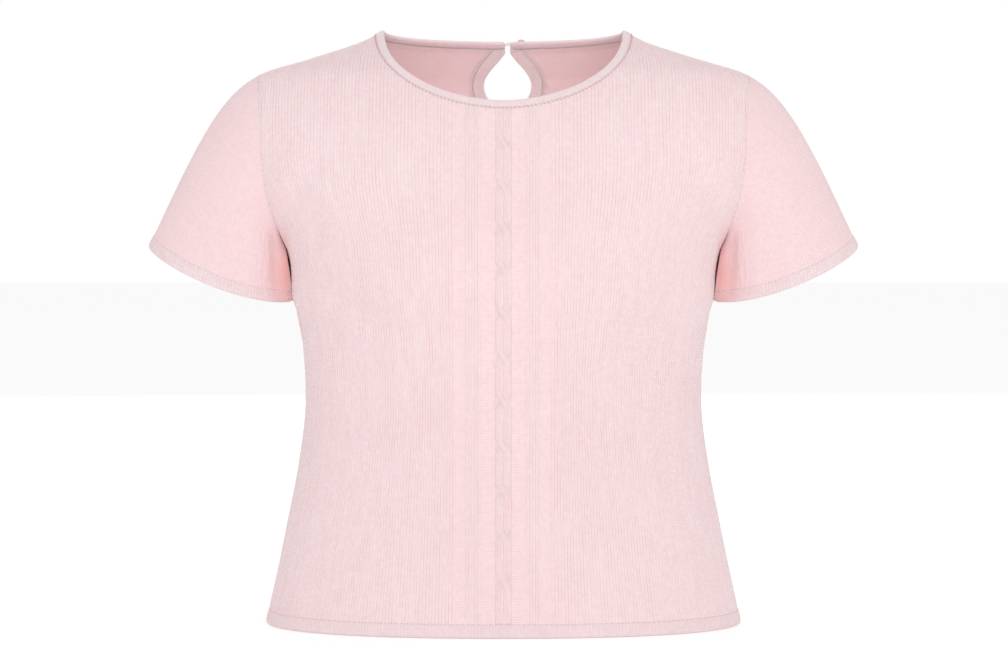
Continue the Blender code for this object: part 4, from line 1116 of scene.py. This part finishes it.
def inner_neck_stitches(name, drop, material):
    """A row on the inside, this far below the neckband, from one side of the keyhole to the other."""
    reach = BINDING_WIDTH + INNER_NECK_CLEAR
    start = -closure_angle(CLOSURE_CENTRE + reach)
    end = 2 * math.pi - closure_angle(CLOSURE_CENTRE - reach)
    points, normals, away = neck_frames(even_angles(start, end, SEAM_STEP))
    inside = points - drop * away - CLOTH * normals
    return stitch_row(name, "inner", inside, -normals, away, material)


def inner_keyhole_stitches(name, width, material):
    """A row on the inside, this far out from the keyhole's edge."""
    turns = np.linspace(0.06, 0.94, 120)
    points, normals = body_frame("back", *keyhole_places(turns, np.full(len(turns), width)))
    inside = points - CLOTH * normals
    return stitch_row(name, "inner", inside, -normals, aside(points, normals), material)


def armhole_stitches(name, material, mirror):
    front, across, height = armhole_places(np.linspace(-math.pi, math.pi, 180))
    points, normals = on_body(front, across - ARMHOLE_STITCH_IN, height)
    return stitch_row(name, "armhole", points * mirror, normals * mirror,
                      aside(points, normals) * mirror, material)


def hem_stitches(name, side, material):
    height = HEM_BOTTOM + HEM_WELT
    reach = float(across_side(side, np.array([height]))[0]) - HEM_STITCH_IN
    across = np.linspace(-reach, reach, 160)
    points, normals = body_frame(side, across, np.full(len(across), height))
    up = np.tile(np.array((0.0, 0.0, 1.0)), (len(points), 1))
    return stitch_row(name, "hem", points, normals, up, material)


def cuff_stitches(name, material, mirror):
    table = along_tracks(SLEEVE_LENGTHS[:, -1:] - CUFF_WELT + np.array(((0.0, 0.002),)))
    rise = sleeve_folds(table, 1.0)[:, 0]
    table = np.concatenate((table, table[:1]))
    points = table[:, 0]
    down = unit(table[:, 1] - points)
    normals = unit(np.cross(runs_along(points), down))
    points = points + np.append(rise, rise[0])[:, None] * normals
    return stitch_row(name, "cuff", points * mirror, normals * mirror, down * mirror, material)


# Button and loop

BUTTON_X = 0.0168
BUTTON_SIDES = 40
BUTTON_SHARE = 0.34      # how far up the band it is sewn
BUTTON_PROFILE = ((0.0011, 0.0003), (0.0011, 0.0018), (0.0034, 0.0018), (0.0040, 0.0022),
                  (0.0042, 0.0029), (0.0040, 0.0036), (0.0036, 0.0040), (0.0032, 0.0038),
                  (0.0028, 0.0034), (0.0016, 0.0033), (0.0004, 0.0033))
STEM_RADIUS = 0.0013     # of the thread round which the loop lies
LOOP_RADIUS = 0.0005
LOOP_BEHIND = 0.0012     # how far the loop starts behind the face and the end of the neckband
LOOP_SAMPLES = 60
LOOP_SPREAD = 0.0009     # half the distance between its two runs where they start
EDGE_SPREAD = 0.0011     # and where they pass over the end of the neckband under the button
EDGE_BEFORE = 0.0006
EDGE_LIFT = 1.4          # height there, compared with that at the stem
STEM_BEFORE = 0.0020     # how far before the stem the runs reach their full distance
BAR_BASE = 0.0032        # heights of the bars of thread in the button's hollow
BAR_ARCH = 0.0006
BAR_HALF = 0.0016
BAR_APART = 0.0007
BAR_RADIUS = 0.00036
ROUND_THREAD = 0.00042   # the stitched round inside the band
ROUND_RADII = (0.0009, 0.0020)


def band_frame(x, share, proud=WELT_PROUD):
    """A point on the outside of the neckband behind the wearer's neck, and its axes."""
    points, normals, away = neck_frames([2 * math.pi - closure_angle(x)])
    point = points[0] + away[0] * NECKBAND_WIDTH * share + normals[0] * proud
    return point, normals[0], away[0], np.cross(normals[0], away[0])


def circle(centre, radius, across, up, turns):
    """Points at turns round a centre, between the two directions given."""
    return centre + radius * (np.cos(turns)[:, None] * across + np.sin(turns)[:, None] * up)


def button(material):
    centre, normal, up, across = band_frame(BUTTON_X, BUTTON_SHARE)
    turns = np.arange(BUTTON_SIDES) / BUTTON_SIDES * 2 * math.pi
    points = np.concatenate([circle(centre + rise * normal, radius, across, up, turns)
                             for radius, rise in BUTTON_PROFILE])
    faces = band_faces(len(BUTTON_PROFILE), BUTTON_SIDES, False)
    uvs = (points - centre) @ np.stack((across, up), axis=1) / COURSE
    return add_piece("button_disc", points, faces, uvs, [material], smooth=BUTTON_SHARP)


def button_thread(material):
    """Two bars of thread in the button's hollow, and the stitched round inside the band."""
    centre, normal, up, across = band_frame(BUTTON_X, BUTTON_SHARE)
    share = np.linspace(-1, 1, 7)[:, None]
    arch = BAR_BASE + BAR_ARCH * (1 - share ** 2)
    bar = centre + arch * normal + BAR_HALF * share * across
    parts = [tube(bar + shift * up, BAR_RADIUS, 8) for shift in (-BAR_APART, BAR_APART)]
    inside = band_frame(BUTTON_X, 0.5, WELT_PROUD - WELT_THICKNESS)[0] - 0.0002 * normal
    turns = np.linspace(0.0, 2 * math.pi, 25)
    parts += [tube(circle(inside, radius, across, up, turns), ROUND_THREAD, THREAD_SIDES)
              for radius in ROUND_RADII]
    return thread_piece("button_thread", parts, material)


def button_loop(material):
    """A thread from the left end of the neckband, round the button's stem and back."""
    stem, stem_out, stem_up, _ = band_frame(BUTTON_X, BUTTON_SHARE)
    anchor, anchor_out, _, _ = band_frame(CLOSURE_CENTRE - CLOSURE_GAP / 2, 0.5)
    lie = LOOP_RADIUS + SEAM_GAP
    reach = STEM_RADIUS + lie
    right = np.array((1.0, 0.0, 0.0))
    start = anchor + (LOOP_RADIUS - LOOP_BEHIND) * right - LOOP_BEHIND * anchor_out
    level = stem + lie * stem_out
    edge = band_frame(CLOSURE_CENTRE + CLOSURE_GAP / 2, 0.5)[0] + EDGE_LIFT * lie * stem_out
    path = []
    for sign in (1.0, -1.0):
        half = [start + sign * LOOP_SPREAD * stem_up,
                edge + sign * EDGE_SPREAD * stem_up - EDGE_BEFORE * right,
                level + sign * reach * stem_up - STEM_BEFORE * right]
        half += list(circle(level, reach, right, sign * stem_up, np.linspace(math.pi / 2, 0.0, 5)))
        path += half if sign > 0 else half[-2::-1]
    path = np.array(path)
    lengths = run_lengths(path)
    path = points_at(np.linspace(0.0, lengths[-1], LOOP_SAMPLES), lengths, path)
    for _ in range(4):
        path[1:-1] = (path[:-2] + 2 * path[1:-1] + path[2:]) / 4
    return thread_piece("button_loop_thread", [tube(path, LOOP_RADIUS, 10)], material)


# Materials

WHITE = (1.0, 1.0, 1.0, 1.0)
PINK = (0.940, 0.800, 0.815, 1.0)
# colour of the painted shade between the stitches
PAINTED_SHADE_PINK = (0.800, 0.510, 0.525, 1.0)
# painted shade under the arms: the deep red mixed into the cloth's colour there, and how much of it
PAINTED_SHADE_RED = (0.82, 0.44, 0.42, 1.0)
PAINTED_SHADE_RED_SHARE = 0.90
# Each knit's colour, colour of the painted shade between its stitches, bump, light let through and how
# dark the painted shade in its grooves is
KNITS = {
    # the sleeve's colour is darker than the face's, painted shade where the key light falls more fully;
    # the inside's is redder and the binding's paler, painted light where they lie in shadow
    "pale_pink_knit_face": (PINK, PAINTED_SHADE_PINK, 0.60, 0.0, 0.8),
    "pale_pink_knit_inside_painted_light": ((0.990, 0.790, 0.797, 1.0), (0.920, 0.630, 0.637, 1.0), 0.5, 0.6, 0.5),
    "pale_pink_knit_sleeve_painted_shade": ((0.885, 0.715, 0.730, 1.0), PAINTED_SHADE_PINK, 0.35, 0.0, 0.15),
    "pale_pink_knit_welt": ((0.905, 0.760, 0.775, 1.0), (0.740, 0.510, 0.525, 1.0), 0.6, 0.0, 0.5),
    "pale_pink_knit_neckband": ((0.925, 0.775, 0.790, 1.0), (0.790, 0.570, 0.580, 1.0), 0.6, 0.45, 0.5),
    "pink_binding_knit_painted_light": ((0.945, 0.810, 0.820, 1.0), (0.840, 0.640, 0.650, 1.0), 0.6, 0.6, 0.5),
}
# Each thread's colour, and the colour of its painted shade between the plies
THREADS = {
    "pink_sewing_thread": ((0.930, 0.790, 0.800, 1.0), (0.820, 0.620, 0.630, 1.0)),
    # darker all over: painted shade standing for the shaded holes along the neck, armhole and hem seams
    "seam_thread_painted_hole_shade": ((0.800, 0.560, 0.570, 1.0), (0.640, 0.380, 0.390, 1.0)),
}
LEG_FULLNESS = 0.6       # powers that round the legs of a stitch and the yarn in them
YARN_FULLNESS = 0.7
STITCH_LEAN = 0.85       # courses between the middle and the side of a leaning leg
BAR_BEND = 0.18          # courses by which a purl bar bends
BUMP_DEPTH = 0.0005
PURL_DARKER = 0.16
GROOVE_POWER = 5.0       # how narrow the painted shade in the grooves between the wales is
STREAK_PLACES = (7.31, 0.045)    # steps in the noise from wale to wale and course to course
STITCH_TONE = 0.10       # how much lighter or darker single stitches, patches and fuzz are
PATCH_TONE = 0.035
FUZZ_TONE = 0.06
PATCH_SCALE = 16.0
FUZZ_SCALE = 1400.0
FUZZ_RELIEF = 0.25
TONE_BASE = 0.48         # tone between the stitches, darkened there as painted shade, and how much is added on them
TONE_RISE = 0.42
NOISE_RANGE = (0.3, 0.7)     # where the values of smooth noise mostly lie
STREAK_RANGE = (0.35, 0.65)
GROOVE_LEAST = 0.1       # share of their painted shade that grooves keep where they are palest
PLY_SCALE = 420.0        # bands of the thread's two plies
PLY_TWIST = 1.5
CLOUD_SCALE = 260.0      # clouds in the button's plastic
BUTTON_ROUGHNESS = (0.22, 0.38)


class Nodes:
    """A material's nodes, added one at a time and joined by their inputs."""

    def __init__(self, name):
        self.material = bpy.data.materials.new(name)
        self.material.use_nodes = True
        self.tree = self.material.node_tree

    def plug(self, node, inputs):
        for place, value in inputs.items():
            if isinstance(value, bpy.types.NodeSocket):
                self.tree.links.new(value, node.inputs[place])
            else:
                node.inputs[place].default_value = value

    def add(self, kind, inputs, **settings):
        """A node with its settings and with its inputs by name or number."""
        node = self.tree.nodes.new(kind)
        for key, value in settings.items():
            setattr(node, key, value)
        self.plug(node, inputs)
        return node

    def where(self):
        return self.add("ShaderNodeTexCoord", {}).outputs["Object"]

    def mark(self, title):
        return self.add("ShaderNodeAttribute", {}, attribute_name=title).outputs["Fac"]

    def math(self, operation, *values, clamp=False):
        inputs = dict(enumerate(values))
        return self.add("ShaderNodeMath", inputs, operation=operation, use_clamp=clamp).outputs[0]

    def noise(self, vector, scale, detail):
        inputs = {"Vector": vector, "Scale": scale, "Detail": detail}
        return self.add("ShaderNodeTexNoise", inputs).outputs["Fac"]

    def ramp(self, *values):
        """A value brought from one range to another: value, low, high, new low, new high."""
        return self.add("ShaderNodeMapRange", dict(enumerate(values))).outputs[0]

    def mix(self, share, one, other):
        return self.add("ShaderNodeMix", {0: share, 6: one, 7: other}, data_type="RGBA").outputs[2]

    def combine(self, x, y):
        return self.add("ShaderNodeCombineXYZ", {0: x, 1: y}).outputs[0]

    def bump(self, height, strength, depth):
        inputs = {"Height": height, "Strength": strength, "Distance": depth}
        return self.add("ShaderNodeBump", inputs).outputs[0]

    def surface(self, inputs):
        self.plug(self.tree.nodes["Principled BSDF"], inputs)
        return self.material


def hump(nodes, value):
    """1 in the middle of each whole number's stretch and 0 at its ends."""
    centred = nodes.math("MULTIPLY_ADD", nodes.math("FRACT", value), 2.0, -1.0)
    return nodes.math("SUBTRACT", 1.0, nodes.math("MULTIPLY", centred, centred))


def knit_height(nodes, wale, course, away, lean, purl):
    """V stitches on the right side, and bars where the cloth is turned."""
    leg = nodes.math("POWER", nodes.math("MULTIPLY_ADD", away, 2.0, -1.0), 2.0)
    leg = nodes.math("POWER", nodes.math("SUBTRACT", 1.0, leg), LEG_FULLNESS)
    yarn = nodes.math("POWER", hump(nodes, lean), YARN_FULLNESS)
    face = nodes.math("MULTIPLY", leg, yarn)
    bend = nodes.math("COSINE", nodes.math("MULTIPLY", wale, 2 * math.pi))
    bar = hump(nodes, nodes.math("MULTIPLY_ADD", bend, BAR_BEND, course))
    return nodes.add("ShaderNodeMix", {0: purl, 2: face, 3: bar}, data_type="FLOAT").outputs[0]


def knit_painted_shade_and_tone(nodes, wale, course, away, lean, purl, height, fuzz, painted_groove_shade):
    """How pale the knit is: 1 on its stitches, less between them and in the grooves between the wales as
    painted shade, with small uneven changes.
    """
    streak_wale = nodes.math("MULTIPLY", nodes.math("FLOOR", wale), STREAK_PLACES[0])
    streak_course = nodes.math("MULTIPLY", course, STREAK_PLACES[1])
    streaks = nodes.noise(nodes.combine(streak_wale, streak_course), 1.0, 1.0)
    groove_shade = nodes.math("POWER", away, GROOVE_POWER)
    shown = nodes.ramp(streaks, *STREAK_RANGE, GROOVE_LEAST * painted_groove_shade, painted_groove_shade)
    groove_shade = nodes.math("MULTIPLY", groove_shade, shown)
    groove_shade = nodes.math("MULTIPLY", groove_shade, nodes.math("SUBTRACT", 1.0, purl))
    cell = nodes.combine(nodes.math("FLOOR", wale), nodes.math("FLOOR", lean))
    dice = nodes.add("ShaderNodeTexWhiteNoise", {"Vector": cell}, noise_dimensions="2D")
    chance = dice.outputs["Value"]
    patches = nodes.noise(nodes.where(), PATCH_SCALE, 3.0)
    # painted shade: the knit is darker between its stitches and, below, in the grooves between its wales
    tone = nodes.math("MULTIPLY_ADD", height, TONE_RISE, TONE_BASE)
    tone = nodes.math("SUBTRACT", tone, nodes.math("MULTIPLY", purl, PURL_DARKER))
    tone = nodes.math("SUBTRACT", tone, groove_shade)
    tone = nodes.math("ADD", tone, nodes.ramp(chance, 0.0, 1.0, -STITCH_TONE, STITCH_TONE))
    tone = nodes.math("ADD", tone, nodes.ramp(patches, *NOISE_RANGE, -PATCH_TONE, PATCH_TONE))
    return nodes.math("ADD", tone, nodes.ramp(fuzz, *NOISE_RANGE, -FUZZ_TONE, FUZZ_TONE), clamp=True)


def knit_material(name, colour, painted_shade_colour, strength, glow, painted_groove_shade):
    """Knit cloth: its stitches follow the piece's wales and courses."""
    nodes = Nodes(name)
    knit = nodes.add("ShaderNodeUVMap", {}, uv_map="knit").outputs[0]
    wale, course, _ = nodes.add("ShaderNodeSeparateXYZ", {0: knit}).outputs
    away = nodes.math("ABSOLUTE", nodes.math("MULTIPLY_ADD", nodes.math("FRACT", wale), 2.0, -1.0))
    lean = nodes.math("SUBTRACT", course, nodes.math("MULTIPLY", away, STITCH_LEAN))
    purl = nodes.mark("purl")
    fuzz = nodes.noise(nodes.where(), FUZZ_SCALE, 3.0)
    height = knit_height(nodes, wale, course, away, lean, purl)
    tone = knit_painted_shade_and_tone(nodes, wale, course, away, lean, purl, height, fuzz, painted_groove_shade)
    # painted shade under the arms: the colour is mixed towards a deep red in the folds there
    underarm_shade = nodes.math("MULTIPLY", nodes.mark("underarm_painted_shade"), PAINTED_SHADE_RED_SHARE)
    relief = nodes.math("MULTIPLY_ADD", fuzz, FUZZ_RELIEF, height)
    return nodes.surface({
        "Base Color": nodes.mix(underarm_shade, nodes.mix(tone, painted_shade_colour, colour), PAINTED_SHADE_RED),
        "Normal": nodes.bump(relief, strength, BUMP_DEPTH),
        "Roughness": 0.92,
        "Specular IOR Level": 0.2,
        "Sheen Weight": 0.25,
        "Sheen Roughness": 0.55,
        "Sheen Tint": (1.0, 0.93, 0.94, 1.0),
        "Subsurface Weight": glow,
        "Subsurface Radius": (0.0080, 0.0040, 0.0042),
        "Subsurface Scale": 1.0,
    })


def thread_material(name, colour, painted_shade_colour):
    """Two-ply thread: fine slanting bands round it, darker in the hollows between the plies as painted
    shade.
    """
    nodes = Nodes(name)
    inputs = {"Vector": nodes.where(), "Scale": PLY_SCALE, "Distortion": PLY_TWIST}
    wave = nodes.add("ShaderNodeTexWave", inputs, wave_type="BANDS", bands_direction="DIAGONAL")
    ply = wave.outputs["Fac"]
    return nodes.surface({
        "Base Color": nodes.mix(ply, painted_shade_colour, colour),
        "Normal": nodes.bump(ply, 0.5, 0.0002),
        "Roughness": 0.75,
        "Sheen Weight": 0.2,
    })


def button_material():
    nodes = Nodes("pink_button_plastic")
    cloud = nodes.noise(nodes.where(), CLOUD_SCALE, 4.0)
    tone = nodes.ramp(cloud, *NOISE_RANGE, 0.0, 1.0)
    return nodes.surface({
        "Base Color": nodes.mix(tone, (0.72, 0.42, 0.45, 1.0), (0.80, 0.52, 0.55, 1.0)),
        "Roughness": nodes.ramp(cloud, *NOISE_RANGE, *BUTTON_ROUGHNESS),
        "Coat Weight": 0.3,
    })


def floor_material():
    nodes = Nodes("studio_white")
    grain = nodes.noise(nodes.where(), 60.0, 2.0)
    return nodes.surface({
        "Base Color": nodes.mix(grain, (0.74, 0.74, 0.74, 1.0), (0.76, 0.76, 0.76, 1.0)),
        "Roughness": 0.95,
        "Specular IOR Level": 0.0,
        "Emission Color": WHITE,
        "Emission Strength": 0.36,
    })


# The scene

FLOOR_HEIGHT = HEM_BOTTOM - 0.0008
FLOOR_REACH = 14.0
WORLD_LIGHT = 0.79
CAMERA_PLACE = (0.0005, -3.0, -0.165)
CAMERA_AIM = (0.0005, 0.0, -0.283)
CAMERA_LENS = 115.0
# Each light's place, aim, size and power
LIGHTS = {
    "key": ((0.35, -3.2, 0.9), (0.0, 0.0, -0.25), 2.2, 29.0),
    "behind": ((-0.3, 3.2, 0.9), (0.0, 0.0, -0.25), 2.2, 24.0),
    "inside": ((0.0, -0.045, -0.135), (0.0, 0.10, -0.02), 0.10, 0.05),
}


def add_floor():
    mesh = bpy.data.meshes.new("floor")
    corners = [(x * FLOOR_REACH, y * FLOOR_REACH, FLOOR_HEIGHT)
               for x, y in ((-1, -1), (1, -1), (1, 1), (-1, 1))]
    mesh.from_pydata(corners, [], [(0, 1, 2, 3)])
    mesh.materials.append(floor_material())
    add_object("floor", mesh)


def aim_at(thing, place, target):
    thing.location = place
    thing.rotation_euler = (Vector(target) - Vector(place)).to_track_quat("-Z", "Y").to_euler()


def add_light(name, place, aim, size, power):
    data = bpy.data.lights.new(name, "AREA")
    data.shape = "DISK"
    data.size = size
    data.energy = power
    light = add_object(name, data)
    light.visible_camera = False
    aim_at(light, place, aim)


def add_world():
    """White all round: as bright as paper for the camera, softer as light."""
    world = bpy.data.worlds.new("studio")
    world.use_nodes = True
    bpy.context.scene.world = world
    tree = world.node_tree
    background = tree.nodes["Background"]
    background.inputs["Color"].default_value = WHITE
    path = tree.nodes.new("ShaderNodeLightPath")
    strength = tree.nodes.new("ShaderNodeMapRange")
    strength.inputs["To Min"].default_value = WORLD_LIGHT
    strength.inputs["To Max"].default_value = 1.0
    tree.links.new(path.outputs["Is Camera Ray"], strength.inputs["Value"])
    tree.links.new(strength.outputs[0], background.inputs["Strength"])


def add_camera():
    data = bpy.data.cameras.new("camera")
    data.lens = CAMERA_LENS
    data.sensor_width = 36.0
    camera = add_object("camera", data)
    aim_at(camera, CAMERA_PLACE, CAMERA_AIM)
    bpy.context.scene.camera = camera


def keyhole_cut():
    """Places of the back's edge round the keyhole's binding, from its right side to its left."""
    turns = np.linspace(0.0, 1.0, KEYHOLE_SAMPLES)
    cut = list(zip(*keyhole_places(turns, np.full(len(turns), BINDING_WIDTH))))
    foot = len(cut) // 2
    return rising(cut[:foot + 1][::-1])[::-1] + rising(cut[foot:])[1:]


def back_neck():
    """The back's upper edge, from the right shoulder down round the keyhole to the left."""
    reach = BINDING_WIDTH + EDGE_STEP / 2
    right_end = -closure_angle(keyhole_edge(0.0, reach)[0])
    left_end = 2 * math.pi - closure_angle(keyhole_edge(1.0, reach)[0])
    right = even_angles(0.0, right_end, EDGE_STEP)
    left = even_angles(left_end, math.pi, EDGE_STEP)
    return neck_edge("back", right) + keyhole_cut() + neck_edge("back", left)


def build():
    add_camera()
    add_floor()
    add_world()
    for name, values in LIGHTS.items():
        add_light(name, *values)
    bpy.context.scene.view_settings.view_transform = "Standard"

    face, inside, sleeve_face_painted_shade, welt, band_welt, binding = (
        knit_material(name, *values) for name, values in KNITS.items())
    # the seam thread is dark pink as painted shade for the holes along the seams
    thread, hole_shade_thread = (thread_material(name, *colours) for name, colours in THREADS.items())

    front_outline = panel_outline("front", neck_edge("front", even_angles(0.0, math.pi, EDGE_STEP)))
    front = panel_shell("front_panel_cloth", "front", front_outline, front_relief, [face, inside])
    hem_front = hem_band("hem_front_cloth", "front", [welt])
    back_outline = panel_outline("back", back_neck())
    back = panel_shell("back_panel_cloth", "back", back_outline, back_relief, [face, inside])
    hem_back = hem_band("hem_back_cloth", "back", [welt])

    for side, mirror in MIRRORS.items():
        sleeve = sleeve_shell("sleeve_" + side + "_cloth", [sleeve_face_painted_shade, inside], mirror)
        cuff = cuff_band("cuff_" + side + "_cloth", [welt], mirror)
        rows = (armhole_stitches("armhole_stitches_" + side, hole_shade_thread, mirror),
                cuff_stitches("cuff_stitches_" + side, thread, mirror))
        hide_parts("sleeve_" + side)
        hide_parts("cuff_" + side)

    band = neckband([band_welt])
    edge = keyhole_binding([binding])
    neck_row = neck_stitches(hole_shade_thread)
    inner_rows = [inner_neck_stitches("neck_inner_stitches_%d" % n, drop, thread)
                  for n, drop in enumerate(INNER_NECK_DROPS, start=1)]
    keyhole_rows = [inner_keyhole_stitches("keyhole_inner_stitches_%d" % n, width, thread)
                    for n, width in enumerate(INNER_KEYHOLE_WIDTHS, start=1)]
    hem_rows = [hem_stitches("hem_stitches_" + side, side, hole_shade_thread) for side in ("front", "back")]
    disc = button(button_material())
    disc_thread = button_thread(thread)
    loop = button_loop(thread)

    for piece, node in ((front, "front_panel"), (back, "back_panel"), (hem_front, "hem_front"),
                        (hem_back, "hem_back"), (band, "neckband"), (edge, "keyhole_binding"),
                        (disc, "button"), (loop, "button_loop")):
        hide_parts(node)


build()
